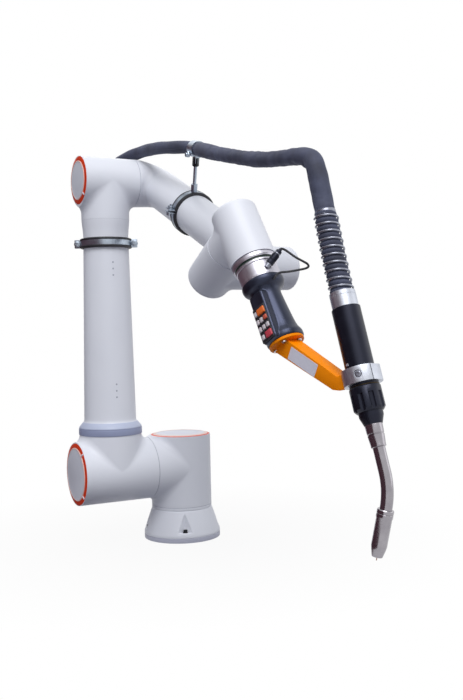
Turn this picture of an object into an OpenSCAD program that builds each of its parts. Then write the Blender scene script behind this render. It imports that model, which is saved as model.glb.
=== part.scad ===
// Six-axis welding arm: round cast housings, two link tubes, a teach handle and a MIG torch.
// The arm stands on the round foot, with the origin at the centre of its underside.
// X is the direction of the shoulder, elbow and first wrist axes.

/* [Base] */
// Radius of the foot where it is bolted down
foot_r = 95; // [88:1:110]
// Height of the grey rim at the bottom of the foot
rim_h = 11; // [8:1:16]
// Height of the foot up to the first joint
foot_h = 86; // [80:1:100]
// Height of the straight collar at the top of the foot
foot_collar_h = 9; // [6:1:12]
// Radius of the circle of the foot's bolts
bolt_circle_r = 85; // [83:0.5:86]
// Radius of a bolt hole
bolt_hole_r = 4.5; // [3.5:0.5:5]
// Height of the pocket floors above the ground
pocket_floor = 24; // [18:1:30]
// Number of bolts, each in a pocket of its own
bolt_count = 4; // [3:1:6]
// Turn of the foot under the arm
foot_turn = -22.5; // [-45:0.5:45]

/* [Shoulder] */
// Radius of the first joint's housing
j1_r = 75; // [72:1:80]
// Height of the shoulder axis above the ground
shoulder_h = 180; // [172:1:195]
// Height of the first housing's top cap
shoulder_top = 260; // [256:1:275]
// Distance from the first axis to the seam of the second joint
shoulder_seam = 91; // [84:1:96]

/* [Upper arm] */
// Radius of the second joint's housing
j2_r = 75; // [72:1:78]
// Distance from the first axis to the upper arm's centre line
arm_x = 186; // [180:1:196]
// Distance from the first axis to the cap of the second joint
arm_cap_x = 277; // [270:1:290]
// Length of the upper arm between its two axes
arm_len = 700; // [620:5:800]
// Tilt of the upper arm from upright
arm_tilt = 0; // [-20:1:20]
// Height of the blue-grey ring above the shoulder axis
arm_ring_z = 92; // [88:1:98]
// Height of the blue-grey ring
arm_ring_h = 15; // [10:1:20]
// Radius of the arm tube at its foot
arm_tube_r0 = 62.5; // [58:0.5:66]
// Radius of the arm tube at its top
arm_tube_r1 = 55.5; // [50:0.5:56.5]

/* [Elbow] */
// Radius of the third joint's housing
j3_r = 57.5; // [54:0.5:62]
// Distance from the first axis to the seam of the third joint
elbow_seam = 115; // [111:1:120]
// Distance from the first axis to the cap of the third joint
elbow_cap_x = 254; // [248:1:262]

/* [Forearm] */
// Distance from the first axis to the forearm's centre line
fore_x = 54; // [48:1:56]
// Length of the forearm between its two axes
fore_len = 586; // [520:2:640]
// Tilt of the forearm from upright
fore_tilt = 114.3; // [95:0.1:125]
// Radius of the forearm tube at the elbow
fore_r0 = 46; // [44:0.5:50]
// Radius of the forearm tube at the wrist
fore_r1 = 43.5; // [41:0.5:44]

/* [Wrist] */
// Radius of the three wrist housings
wrist_r = 43; // [41:0.5:45]
// Distance from a wrist joint's axis to its cap
wrist_cap = 48; // [46:1:56]
// Distance from the forearm's centre line to the first wrist seam
wrist_seam_1 = 54; // [50:1:58]
// Distance between the forearm and the fifth joint's centre line
wrist_off_1 = 110; // [104:1:116]
// Distance between the fourth and sixth axes
wrist_off_2 = 114; // [108:1:120]
// Tilt of the fifth axis from upright
wrist_tilt = 60; // [40:1:80]
// Turn of the sixth joint's housing about the fifth axis
wrist_turn = 5; // [-20:1:20]
// Distance from the fifth axis to the face of the last housing
wrist_face = 65; // [60:1:70]

/* [Tool] */
// Turn of the tool about the sixth axis
tool_turn = 70; // [60:1:80]
// Thickness of the turning output ring
output_h = 9; // [7:0.5:12]
// Radius of the output ring
output_r = 41.5; // [38:0.5:42.5]
// Thickness of the dark seal
seal_h = 4; // [3:0.5:6]
// Radius of the aluminium adapter
adapter_r = 37; // [35:0.5:40]
// Length of the aluminium adapter
adapter_h = 31; // [26:1:34]
// Radius of the handle's flange
handle_flange_r = 39; // [36:0.5:42]
// Thickness of the handle's flange
handle_flange_h = 17; // [14:1:20]
// Radius of the handle's waist
waist_r = 24.5; // [23:0.5:27]
// Radius of the handle's body
handle_r = 30.5; // [28:0.5:33]
// Length of the handle with its flange
handle_len = 134; // [126:1:140]

/* [Bracket] */
// Radius of the bracket's round plate
plate_r = 35; // [33:0.5:38]
// Thickness of the bracket's round plate
plate_h = 5; // [4:0.5:6]
// Thickness of the bracket's arm
bracket_w = 28; // [24:1:32]
// Depth of the bracket's arm where it leaves the plate
bracket_d0 = 32; // [28:1:36]
// Depth of the bracket's arm at the clamp
bracket_d1 = 24.5; // [22:0.5:28]

/* [Torch] */
// Distance of the torch clamp from the sixth axis
clamp_x = 109; // [100:1:120]
// Distance of the torch clamp from the fifth axis
clamp_z = 358; // [340:1:370]
// Lean of the torch towards the sixth axis
torch_lean = 11.5; // [5:0.5:20]
// Radius of the black torch tube
torch_r = 23.5; // [21:0.5:25]
// Length of the black torch tube above its clamp
torch_up = 117; // [100:1:130]
// Radius of the aluminium sleeve
sleeve_r = 20.5; // [18:0.5:21]
// Length of the aluminium sleeve
sleeve_len = 28; // [20:1:36]
// Outer radius of the torch clamp
clamp_r = 32; // [30:0.5:35]
// Height of the torch clamp
clamp_h = 26; // [22:1:30]
// Radius of the fluted nut
nut_r = 26; // [24:0.5:28]
// Radius of the swan neck's tube
neck_r = 10; // [8:0.5:11]
// Bend of the swan neck
neck_bend = 28; // [20:1:45]
// Radius of the gas nozzle
nozzle_r = 12.7; // [11:0.1:14]
// Length of the gas nozzle
nozzle_len = 76; // [60:1:90]

/* [Hose] */
// Radius of the fabric-sleeved hose at the torch
hose_r = 16.5; // [15.5:0.1:17]
// Radius of the hose where it is drawn tight over the elbow
hose_slim_r = 14.3; // [13:0.1:15]
// Outer radius of the spring guard
spring_r = 20.5; // [20:0.5:22]
// Radius of the spring guard's wire
spring_wire_r = 1.6; // [1:0.1:2]
// Turns of the spring guard
spring_turns = 10.5; // [6:0.5:14]
// Pitch of the spring guard
spring_pitch = 12.8; // [8:0.1:16]

/* [Pipe clamps] */
// Height of the upper arm's pipe clamp above the shoulder axis
arm_clamp_z = 551; // [480:1:580]
// Distance of the forearm's pipe clamp from the elbow axis
fore_clamp_z = 230; // [180:1:300]
// Width of a pipe clamp's steel band
band_w = 20; // [16:1:26]
// Thickness of a pipe clamp's steel band
band_t = 2.5; // [2:0.1:4]
// Thickness of the rubber lining
liner_t = 4.5; // [3:0.5:6]
// Radius of the threaded rods
rod_r = 4; // [3:0.5:5]

/* [Hidden] */
$fn = 96;

// Narrow gap between two pieces that turn against each other
joint_gap = 0.4;
// How far a joint's stub is smaller than the housing that it meets
stub_step = 0.6;
// A coloured ring slopes back from the cap's edge to the housing's wall
cap_slope = 2.8;
cap_seat = 2.5;
cap_ring_w = 11;
wrist_edge_r = 8;
wrist_ring_w = 5;

white = [0.90, 0.90, 0.92];
blue_grey = [0.62, 0.66, 0.74];
accent = [0.90, 0.33, 0.20];
steel = [0.75, 0.77, 0.79];
alu = [0.80, 0.81, 0.83];
black = [0.10, 0.10, 0.12];
orange = [0.96, 0.55, 0.08];

// The pocket's apex lies this far from the foot's axis
pocket_r = bolt_circle_r - 8;
pocket_half_w = 20;
foot_neck_z = foot_h - foot_collar_h;

elbow_p = [0, -arm_len * sin(arm_tilt), shoulder_h + arm_len * cos(arm_tilt)];
fore_dir = [0, -sin(fore_tilt), cos(fore_tilt)];
wrist_p = elbow_p + [-fore_x, 0, 0] + fore_len * fore_dir;
wrist_dir = [0, -sin(wrist_tilt), cos(wrist_tilt)];
bend_p = wrist_p - [wrist_off_1, 0, 0];
tip_p = bend_p + wrist_off_2 * wrist_dir;
bend_seam = wrist_off_2 / 2;

seal_z = wrist_face + joint_gap + output_h;
adapter_z = seal_z + seal_h;
handle_z = adapter_z + adapter_h;
plate_z = handle_z + handle_len;

// The forearm's bend turns from the elbow axis into the forearm's line
bend_r = elbow_seam - fore_x - 2;

// Places on the arm, each with its own Z along the piece
module in_arm() {
    translate([-arm_x, 0, shoulder_h]) rotate([arm_tilt, 0, 0]) children();
}
module in_elbow() {
    translate(elbow_p) children();
}
module in_forearm() {
    translate(elbow_p + [-fore_x, 0, 0]) rotate([fore_tilt, 0, 0]) children();
}
module in_bend() {
    translate(bend_p) rotate([wrist_tilt, 0, 0]) children();
}
module in_end() {
    translate(tip_p) rotate([wrist_tilt, 0, 0]) rotate([0, 0, wrist_turn]) rotate([90, 0, 0]) children();
}
module in_tool() {
    in_end() rotate([0, 0, tool_turn]) children();
}
module in_torch() {
    in_tool() translate([clamp_x, 0, clamp_z]) rotate([0, -torch_lean, 0]) children();
}
module to_minus_x() {
    rotate([0, -90, 0]) children();
}

// A round bar from height a to b, its far edge rounded by e
module soft_bar(r, a, b, e) {
    translate([0, 0, a]) rotate_extrude() union() {
        square([r - e, b - a]);
        square([r, b - a - e]);
        translate([r - e, b - a - e]) intersection() {
            circle(e, $fn = 48);
            square(e);
        }
    }
}
module ring(r_in, r_out, a, b) {
    translate([0, 0, a]) difference() {
        cylinder(r = r_out, h = b - a);
        translate([0, 0, -1]) cylinder(r = r_in, h = b - a + 2);
    }
}

// A housing's end wall, recessed for its cap and coloured ring, with its edge rounded by e
module capped_bar(r, a, b, e = 1) {
    difference() {
        soft_bar(r, a, b - (e > 1 ? 0 : cap_slope), e);
        translate([0, 0, b - cap_slope - cap_seat]) cylinder(r = r - e, h = cap_slope + cap_seat + 1);
    }
}
module cap_disc(r, b, e = 1, w = cap_ring_w) {
    color(white) soft_bar(r - e - w, b - cap_slope - cap_seat, b, 0.8);
}
module cap_ring(r, b, e = 1, w = cap_ring_w) {
    color(accent) translate([0, 0, b]) rotate_extrude() polygon([
        [r - e - w, -cap_slope - cap_seat], [r - e, -cap_slope - cap_seat], [r - e, -cap_slope + 0.2],
        [r - e - w, -0.8]
    ]);
}
module wrist_bar(a, b) {
    capped_bar(wrist_r, a, b, wrist_edge_r);
}
module wrist_disc(b) {
    cap_disc(wrist_r, b, wrist_edge_r, wrist_ring_w);
}
module wrist_ring(b) {
    cap_ring(wrist_r, b, wrist_edge_r, wrist_ring_w);
}

// Turns of a point about an axis, and places in the row of points on the tool
function about_x(v, a) = [v.x, v.y * cos(a) - v.z * sin(a), v.y * sin(a) + v.z * cos(a)];
function about_y(v, a) = [v.x * cos(a) + v.z * sin(a), v.y, v.z * cos(a) - v.x * sin(a)];
function about_z(v, a) = [v.x * cos(a) - v.y * sin(a), v.x * sin(a) + v.y * cos(a), v.z];
function tool_point(v) = tip_p
    + about_x(about_z(about_x(about_z(v, tool_turn), 90), wrist_turn), wrist_tilt);
function torch_point(z) = tool_point([clamp_x, 0, clamp_z] + about_y([0, 0, z], -torch_lean));

// Sweep of round rings along a route
function turned(v) = v / norm(v);
function tangent(p, i) = turned(p[min(i + 1, len(p) - 1)] - p[max(i - 1, 0)]);
function mid_point(a, b, c, d, t) = 0.5 * (2 * b + (c - a) * t
    + (2 * a - 5 * b + 4 * c - d) * t * t + (3 * b - a - 3 * c + d) * t * t * t);
function eased(p, steps) = [
    for (i = [0 : len(p) - 2], s = [0 : steps - 1])
        mid_point(p[max(i - 1, 0)], p[i], p[i + 1], p[min(i + 2, len(p) - 1)], s / steps),
    p[len(p) - 1]
];
module sweep(path, radii, side, n, first, last, lead_in = 0) {
    points = [
        for (i = [first : last])
            let (t = tangent(path, i), u = turned(cross(t, side)), v = cross(t, u))
            for (k = [0 : n - 1])
                path[i] + (i == first ? lead_in : 0) * t + radii[i] * (cos(360 * k / n) * u + sin(360 * k / n) * v)
    ];
    m = last - first + 1;
    walls = [
        for (i = [0 : m - 2], k = [0 : n - 1])
            [i * n + k, (i + 1) * n + k, (i + 1) * n + (k + 1) % n, i * n + (k + 1) % n]
    ];
    ends = [[for (k = [0 : n - 1]) k], [for (k = [n - 1 : -1 : 0]) (m - 1) * n + k]];
    polyhedron(points = points, faces = concat(walls, ends), convexity = 8);
}
module tube_along(path, r, side, n) {
    sweep(path, [for (i = path) r], side, n, 0, len(path) - 1);
}

// Foot: a flared casting on a grey rim, with a V-shaped pocket over each bolt
module foot_profile() {
    rotate_extrude() polygon([
        [0, rim_h], [foot_r, rim_h], [foot_r, rim_h + 2], [j1_r + 1.5, foot_neck_z - 5],
        [j1_r, foot_neck_z], [j1_r, foot_h], [0, foot_h]
    ]);
}
module bolt_pockets() {
    for (k = [0 : bolt_count - 1])
        rotate([0, 0, foot_turn - 90 + k * 360 / bolt_count]) {
            translate([0, 0, pocket_floor]) linear_extrude(foot_h) polygon([
                [pocket_r, 0], [foot_r + 5, -pocket_half_w * (foot_r + 5 - pocket_r) / (foot_r - pocket_r)],
                [foot_r + 5, pocket_half_w * (foot_r + 5 - pocket_r) / (foot_r - pocket_r)]
            ]);
            translate([bolt_circle_r, 0, -1]) cylinder(r = bolt_hole_r, h = foot_h);
        }
}
module base_foot() {
    color(white) difference() {
        foot_profile();
        bolt_pockets();
    }
}
module base_rim() {
    color(blue_grey) difference() {
        cylinder(r = foot_r, h = rim_h);
        bolt_pockets();
    }
}

// Shoulder: an upright housing with a stub for the second joint
module shoulder_housing() {
    color(white) union() {
        capped_bar(j1_r, foot_h + joint_gap, shoulder_top);
        difference() {
            translate([0, 0, shoulder_h]) to_minus_x() cylinder(r = j2_r - stub_step, h = shoulder_seam);
            translate([0, 0, foot_h]) cylinder(r = j1_r - 10, h = shoulder_top - foot_h);
        }
    }
}
module shoulder_cap() {
    cap_disc(j1_r, shoulder_top);
}
module shoulder_cap_ring() {
    cap_ring(j1_r, shoulder_top);
}

// Upper arm: the second joint's T, the ring and the tapered tube
module arm_root_housing() {
    color(white) union() {
        translate([0, 0, shoulder_h]) to_minus_x()
            capped_bar(j2_r, shoulder_seam + joint_gap, arm_cap_x);
        in_arm() cylinder(r = j2_r - stub_step, h = arm_ring_z);
    }
}
module arm_root_cap() {
    translate([0, 0, shoulder_h]) to_minus_x() cap_disc(j2_r, arm_cap_x);
}
module arm_root_cap_ring() {
    translate([0, 0, shoulder_h]) to_minus_x() cap_ring(j2_r, arm_cap_x);
}
module arm_root_ring() {
    color(blue_grey) in_arm() translate([0, 0, arm_ring_z]) cylinder(r = j2_r + 1, h = arm_ring_h);
}
arm_collar_z = arm_ring_z + arm_ring_h;
arm_chamfer_h = 22;
elbow_collar_h = 30;
arm_tube_top = arm_len - 61;
module arm_tube() {
    color(white) in_arm() rotate_extrude() polygon([
        [0, arm_collar_z], [j2_r + 1, arm_collar_z], [j2_r + 1, arm_collar_z + 2],
        [arm_tube_r0, arm_collar_z + arm_chamfer_h],
        [arm_tube_r1, arm_tube_top - elbow_collar_h], [j3_r - stub_step, arm_tube_top - 8],
        [j3_r - stub_step, arm_tube_top], [0, arm_tube_top]
    ]);
}
module elbow_housing() {
    color(white) union() {
        in_elbow() to_minus_x() capped_bar(j3_r, elbow_seam + joint_gap, elbow_cap_x);
        in_arm() translate([0, 0, arm_tube_top]) cylinder(r = j3_r - stub_step, h = arm_len - arm_tube_top);
    }
}
module elbow_cap() {
    in_elbow() to_minus_x() cap_disc(j3_r, elbow_cap_x);
}
module elbow_cap_ring() {
    in_elbow() to_minus_x() cap_ring(j3_r, elbow_cap_x);
}

// Two-piece pipe clamp on a round link, with ears for its screws at both sides
ear_l = 17;
ear_gap = 4;
module pipe_band(r) {
    difference() {
        union() {
            cylinder(r = r + liner_t + band_t, h = band_w, center = true);
            for (s = [-1, 1]) translate([s * (r + liner_t + ear_l / 2), 0, 0])
                cube([ear_l, 2 * band_t + ear_gap, band_w], center = true);
        }
        cylinder(r = r + liner_t, h = band_w + 2, center = true);
        for (s = [-1, 1]) translate([s * (r + liner_t + ear_l / 2), 0, 0])
            cube([ear_l + 4, ear_gap, band_w + 2], center = true);
    }
}
module pipe_liner(r) {
    ring(r, r + liner_t, -band_w / 2 - 2, band_w / 2 + 2);
}
arm_clamp_r = arm_tube_r0 + (arm_tube_r1 - arm_tube_r0) * (arm_clamp_z - arm_collar_z - arm_chamfer_h)
    / (arm_tube_top - elbow_collar_h - arm_collar_z - arm_chamfer_h) + 0.3;
arm_ear_turn = -28;
module arm_clamp() {
    color(steel) in_arm() translate([0, 0, arm_clamp_z]) rotate([0, 0, arm_ear_turn]) pipe_band(arm_clamp_r);
}
module arm_clamp_liner() {
    color(black) in_arm() translate([0, 0, arm_clamp_z]) pipe_liner(arm_clamp_r);
}

// Threaded rod with its nuts and a hose band at the far end, standing on local Z
nut_h = 16;
nut_af = 8;
module standoff(from, to) {
    union() {
        translate([0, 0, from]) cylinder(r = nut_af, h = nut_h, $fn = 6);
        translate([0, 0, from + nut_h]) cylinder(r = rod_r, h = to - from - nut_h - 12);
        translate([0, 0, to - 17]) cylinder(r = nut_af - 1, h = 14.5, $fn = 6);
    }
}
hose_play = 0.8;
hose_band_t = 2.7;
rear_reach = 168;
rear_turn = -12;
rear_from = arm_clamp_r + liner_t + band_t;
module hose_band() {
    ring(hose_slim_r + hose_play, hose_slim_r + hose_play + hose_band_t, -10, 10);
}
module rear_standoff() {
    color(steel) in_arm() translate([0, 0, arm_clamp_z]) rotate([0, 0, rear_turn]) {
        rotate([-90, 0, 0]) standoff(rear_from, rear_reach - hose_slim_r);
        translate([0, rear_reach, 0]) hose_band();
    }
}

// Hose from the connector behind the arm, over the elbow, to the forearm's standoff
hose_in_guard = torch_up + sleeve_len;
hose_start_z = 690;
rear_p = about_z([0, rear_reach, 0], rear_turn) - [arm_x, 0, 0];
hose_arm_route = [
    [rear_p.x, rear_p.y, hose_start_z], [rear_p.x, rear_p.y, 742], [-150.5, 165, 800], [-148, 163, 860],
    [-140, 147, 909], [-120, 111, 938], [-105, 60, 952], [-97, -1, 955], [-95, -61, 952], [-94, -122, 946],
    [-88, -182, 937], [-80, -235, 928.5], [-75, -275, 918.5]
];
hose_tool_route = [
    [-83, -332, 904], [-92, -396, 887], [-100, -463, 870], [-103, -536, 852], [-104, -610, 836],
    [-103, -680, 827], [-102, -735, 821], [-99, -769, 810], [-100, -786, 787]
];
hose_path = concat(
    eased(concat(hose_arm_route, hose_tool_route), 3),
    [for (d = [172, 152, 120, 80, 40, 0.2]) torch_point(-hose_in_guard - d)]
);
hose_split = 3 * (len(hose_arm_route) - 1);
hose_wide = 3 * (len(hose_arm_route) + len(hose_tool_route) - 3);
hose_radii = [
    for (i = [0 : len(hose_path) - 1])
        hose_slim_r + (hose_r - hose_slim_r) * max(0, min(1, (i - hose_split) / (hose_wide - hose_split)))
];
module hose_piece(first, last, lead_in) {
    color(black) sweep(hose_path, hose_radii, [1, 0, 0], 12, first, last, lead_in);
}
module hose_over_elbow() {
    hose_piece(0, hose_split, 0);
}
module hose_connector() {
    color(steel) translate(hose_arm_route[0]) {
        translate([0, 0, -26]) cylinder(r = hose_slim_r + 3, h = 25.5);
        translate([0, 0, -44]) cylinder(r = hose_slim_r + 5, h = 18, $fn = 12);
        translate([0, 0, -70]) cylinder(r = 9, h = 26);
    }
}

// Forearm: a cast bend that turns from the elbow axis into the forearm tube
bend_steps = 12;
bend_path = [
    [-elbow_seam + joint_gap + fore_x, 0, 0],
    for (i = [0 : bend_steps])
        let (q = 90 * i / bend_steps) [bend_r * (sin(q) - 1), 0, bend_r * (1 - cos(q))]
];
bend_radii = [
    j3_r, for (i = [0 : bend_steps])
        fore_r0 + (j3_r - fore_r0) * (1 + cos(180 * i / bend_steps)) / 2
];
module forearm_tube() {
    color(white) in_forearm() union() {
        sweep(bend_path, bend_radii, [0, 1, 0], 48, 0, bend_steps + 1);
        translate([0, 0, bend_r]) cylinder(r1 = fore_r0, r2 = fore_r1, h = fore_len - bend_r - wrist_seam_1 - 20);
    }
}
fore_clamp_r = fore_r0 + (fore_r1 - fore_r0) * (fore_clamp_z - bend_r) / (fore_len - bend_r) + 0.4;
module forearm_clamp() {
    color(steel) in_forearm() translate([0, 0, fore_clamp_z]) rotate([0, 0, fore_ear_turn]) pipe_band(fore_clamp_r);
}
module forearm_clamp_liner() {
    color(black) in_forearm() translate([0, 0, fore_clamp_z]) pipe_liner(fore_clamp_r);
}
fore_ear_turn = -4;
fore_reach = 150;
fore_rod_turn = 8;
fore_rod_lean = 3;
fore_band_lean = -9.8;
module hose_standoff() {
    color(steel) in_forearm() translate([0, 0, fore_clamp_z]) rotate([0, 0, fore_rod_turn]) {
        rotate([fore_rod_lean - 90, 0, 0]) standoff(
            (fore_clamp_r + liner_t + band_t) / cos(fore_rod_lean) + nut_af * tan(fore_rod_lean),
            fore_reach - hose_slim_r
        );
        translate([0, fore_reach * cos(fore_rod_lean), fore_reach * sin(fore_rod_lean)])
            rotate([fore_band_lean, 0, 0]) hose_band();
    }
}

// Wrist: three like housings, each turned against the last
module wrist_root_housing() {
    color(white) in_forearm() translate([0, 0, fore_len]) union() {
        rotate([0, 90, 0]) wrist_bar(-wrist_seam_1 + joint_gap, wrist_cap + 6);
        translate([0, 0, -wrist_seam_1 - 20]) cylinder(r = wrist_r - stub_step, h = wrist_seam_1 + 20);
    }
}
module wrist_root_cap() {
    in_forearm() translate([0, 0, fore_len]) rotate([0, 90, 0]) wrist_disc(wrist_cap + 6);
}
module wrist_root_cap_ring() {
    in_forearm() translate([0, 0, fore_len]) rotate([0, 90, 0]) wrist_ring(wrist_cap + 6);
}
module wrist_bend_housing() {
    color(white) in_bend() union() {
        rotate([180, 0, 0]) wrist_bar(-bend_seam + joint_gap, wrist_cap);
        rotate([0, 90, 0]) cylinder(r = wrist_r - stub_step, h = wrist_off_1 - wrist_seam_1 - joint_gap);
    }
}
module wrist_bend_cap() {
    in_bend() rotate([180, 0, 0]) wrist_disc(wrist_cap);
}
module wrist_bend_cap_ring() {
    in_bend() rotate([180, 0, 0]) wrist_ring(wrist_cap);
}
module wrist_end_housing() {
    color(white) in_end() union() {
        rotate([180, 0, 0]) wrist_bar(-wrist_face, wrist_cap);
        rotate([90, 0, 0]) cylinder(r = wrist_r - stub_step, h = wrist_off_2 - bend_seam);
    }
}
module wrist_end_cap() {
    in_end() rotate([180, 0, 0]) wrist_disc(wrist_cap);
}
module wrist_end_cap_ring() {
    in_end() rotate([180, 0, 0]) wrist_ring(wrist_cap);
}

// Hose from the forearm's standoff to the torch
module hose_to_torch() {
    hose_piece(hose_split, len(hose_path) - 1, 0.2);
}

// Tool flange, adapter and teach handle
module output_ring() {
    color(alu) in_tool() translate([0, 0, wrist_face + joint_gap]) cylinder(r = output_r, h = output_h);
}
module output_seal() {
    color(black) in_tool() translate([0, 0, seal_z]) cylinder(r = output_r - 3, h = seal_h);
}
module tool_adapter() {
    color(alu) in_tool() translate([0, 0, adapter_z]) union() {
        cylinder(r = adapter_r, h = adapter_h);
        cylinder(r = adapter_r + 2, h = 4);
    }
}
keypad_turn = 99;
pad_w = 36;
pad_r0 = 27;
pad_r1 = 35;
pad_z0 = handle_z + handle_flange_h + 9;
pad_z1 = plate_z - 7;
pad_lean = atan((pad_r1 - pad_r0) / (pad_z1 - pad_z0));
module teach_handle() {
    body_z = handle_z + handle_flange_h;
    color(black) in_tool() union() {
        rotate_extrude() polygon([
            [0, handle_z], [handle_flange_r - 1.5, handle_z], [handle_flange_r, handle_z + 1.5],
            [handle_flange_r, handle_z + 7], [handle_flange_r - 1.5, handle_z + 11], [handle_flange_r - 5, body_z - 1],
            [waist_r + 5, body_z + 2.5], [waist_r + 1.5, body_z + 6], [waist_r, body_z + 12],
            [waist_r + 0.6, body_z + 24], [waist_r + 2, body_z + 40], [handle_r - 2, body_z + 62],
            [handle_r - 0.6, body_z + 80], [handle_r, plate_z - 20], [handle_r + 1, plate_z - 12],
            [handle_r + 2.6, plate_z - 7], [handle_r + 3, plate_z - 5], [handle_r + 3, plate_z], [0, plate_z]
        ]);
        rotate([0, 0, keypad_turn]) translate([0, pad_w / 2, 0]) rotate([90, 0, 0]) linear_extrude(pad_w) polygon([
            [12, pad_z0 - 8], [pad_r0 - 3, pad_z0 - 8], [pad_r0, pad_z0], [pad_r1, pad_z1], [12, pad_z1]
        ]);
    }
}
keypad_l = 80;
keypad_w = 31;
keypad_t = 2;
keypad_corner = 7;
module keypad() {
    color([0.2, 0.2, 0.22]) in_tool() rotate([0, 0, keypad_turn]) translate([pad_r1, 0, pad_z1])
        rotate([0, pad_lean, 0]) translate([0, 0, -keypad_l - 6]) rotate([90, 0, 90]) {
            translate([keypad_corner - keypad_w / 2, 0, 0]) cube([keypad_w - 2 * keypad_corner, keypad_l, keypad_t]);
            translate([-keypad_w / 2, keypad_corner, 0]) cube([keypad_w, keypad_l - 2 * keypad_corner, keypad_t]);
            for (x = [-1, 1], y = [keypad_corner, keypad_l - keypad_corner])
                translate([x * (keypad_w / 2 - keypad_corner), y, 0]) cylinder(r = keypad_corner, h = keypad_t);
        }
}

// Bracket: a round plate and a bent box arm that ends at the clamp's wall
arm_start_x = 4.4;
box_lean = 32.2;
box_roll = 11.8;
box_bend = 118;
module torch_bracket() {
    color(orange) in_tool() difference() {
        union() {
            translate([0, 0, plate_z]) cylinder(r = plate_r, h = plate_h);
            translate([arm_start_x, 0, plate_z + 2]) rotate([0, box_lean, 0]) rotate([0, 0, box_roll])
                translate([0, bracket_w / 2, 0]) rotate([90, 0, 0]) linear_extrude(bracket_w) polygon([
                    [-bracket_d0 / 2, -6], [-bracket_d1 / 2, box_bend + 1.5], [6.5 - bracket_d1 / 2, box_bend + 15],
                    [19 - bracket_d1 / 2, box_bend + 31], [26 - bracket_d1 / 2, box_bend + 38],
                    [24 + bracket_d1 / 2, box_bend + 28], [12.4 + bracket_d1 / 2, box_bend + 15],
                    [bracket_d1 / 2, box_bend], [bracket_d0 / 2, -6]
                ]);
        }
        translate([0, 0, plate_z - 60]) cylinder(r = 80, h = 60);
        translate([clamp_x, 0, clamp_z]) rotate([0, -torch_lean, 0]) cylinder(r = clamp_r, h = 120, center = true);
    }
}

// Torch on local Z, from the hose down to the wire
clamp_flat_turn = 2;
clamp_flat_r = clamp_r - 2.5;
clamp_split_turn = 26;
clamp_screw_turn = 68;
module torch_clamp() {
    color(alu) in_torch() difference() {
        cylinder(r = clamp_r, h = clamp_h, center = true);
        cylinder(r = torch_r + 0.1, h = clamp_h + 2, center = true);
        rotate([0, 0, clamp_flat_turn]) translate([clamp_flat_r, -clamp_r, -clamp_h])
            cube([clamp_r, 2 * clamp_r, 2 * clamp_h]);
        rotate([0, 0, clamp_split_turn]) translate([clamp_r, 0, 0]) cube([2 * clamp_r, 1.2, clamp_h + 2], center = true);
        rotate([0, 0, clamp_screw_turn]) translate([clamp_r - 4, 0, 0]) rotate([0, 90, 0]) cylinder(r = 6.5, h = 10);
    }
}
module torch_tube() {
    color(black) in_torch() translate([0, 0, -torch_up]) cylinder(r = torch_r, h = torch_up + 18);
}
module torch_sleeve() {
    color(alu) in_torch() translate([0, 0, -torch_up - sleeve_len]) cylinder(r = sleeve_r, h = sleeve_len);
}
guard_z = -torch_up - sleeve_len;
module spring_guard() {
    steps = 20 * spring_turns;
    path = [
        for (i = [0 : steps])
            let (q = 360 * i / 20)
            [(spring_r - spring_wire_r) * cos(q), (spring_r - spring_wire_r) * sin(q),
             guard_z - 2 - spring_pitch * i / 20]
    ];
    color(steel) in_torch() union() {
        tube_along(path, spring_wire_r, [0, 0, 1], 6);
        translate([0, 0, guard_z - spring_pitch * spring_turns]) ring(hose_r + 0.1, hose_r + 2, -12, 0);
    }
}
module torch_nut() {
    flutes = 9;
    color(black) in_torch() difference() {
        rotate_extrude() polygon([
            [0, 18], [nut_r - 1, 18], [nut_r, 20], [nut_r, 54], [nut_r - 4, 59], [20, 59],
            [20, 66], [15, 80], [0, 80]
        ]);
        for (k = [0 : flutes - 1]) rotate([0, 0, k * 360 / flutes])
            translate([nut_r + 2, 0, 30]) cylinder(r = 5, h = 40);
    }
}
neck_z = 80;
neck_straight = 156;
neck_turn_r = 120;
tip_r = 4;
module swan_neck() {
    color(steel) in_torch() union() {
        translate([0, 0, neck_z]) cylinder(r1 = 14.5, r2 = 13, h = 16);
        translate([0, 0, neck_z + 16]) cylinder(r1 = 12.5, r2 = 11.5, h = 20);
        translate([0, 0, neck_z + 36]) cylinder(r = neck_r, h = neck_straight - neck_z - 36);
        translate([0, 0, neck_straight]) translate([-neck_turn_r, 0, 0]) rotate([90, 0, 0])
            rotate_extrude(angle = neck_bend) translate([neck_turn_r, 0]) circle(neck_r);
        in_neck_end() {
            translate([0, 0, -1]) cylinder(r = tip_r, h = nozzle_len - 13);
            translate([0, 0, nozzle_len - 14]) cylinder(r1 = tip_r, r2 = 2, h = 8);
            translate([0, 0, nozzle_len - 7]) cylinder(r = 0.7, h = 13);
        }
    }
}
module in_neck_end() {
    translate([-neck_turn_r * (1 - cos(neck_bend)), 0, neck_straight + neck_turn_r * sin(neck_bend)])
        rotate([0, -neck_bend, 0]) children();
}
module gas_nozzle() {
    color(steel) in_torch() in_neck_end() rotate_extrude() polygon([
        [tip_r + 0.1, 0], [nozzle_r, 0], [nozzle_r + 0.8, 1.5], [nozzle_r + 0.8, 13], [nozzle_r, 14.5],
        [nozzle_r, nozzle_len - 18], [nozzle_r - 1, nozzle_len - 12], [nozzle_r - 4, nozzle_len],
        [nozzle_r - 5.2, nozzle_len], [nozzle_r - 2, nozzle_len - 14], [nozzle_r - 2, 8], [tip_r + 0.1, 8]
    ]);
}

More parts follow.
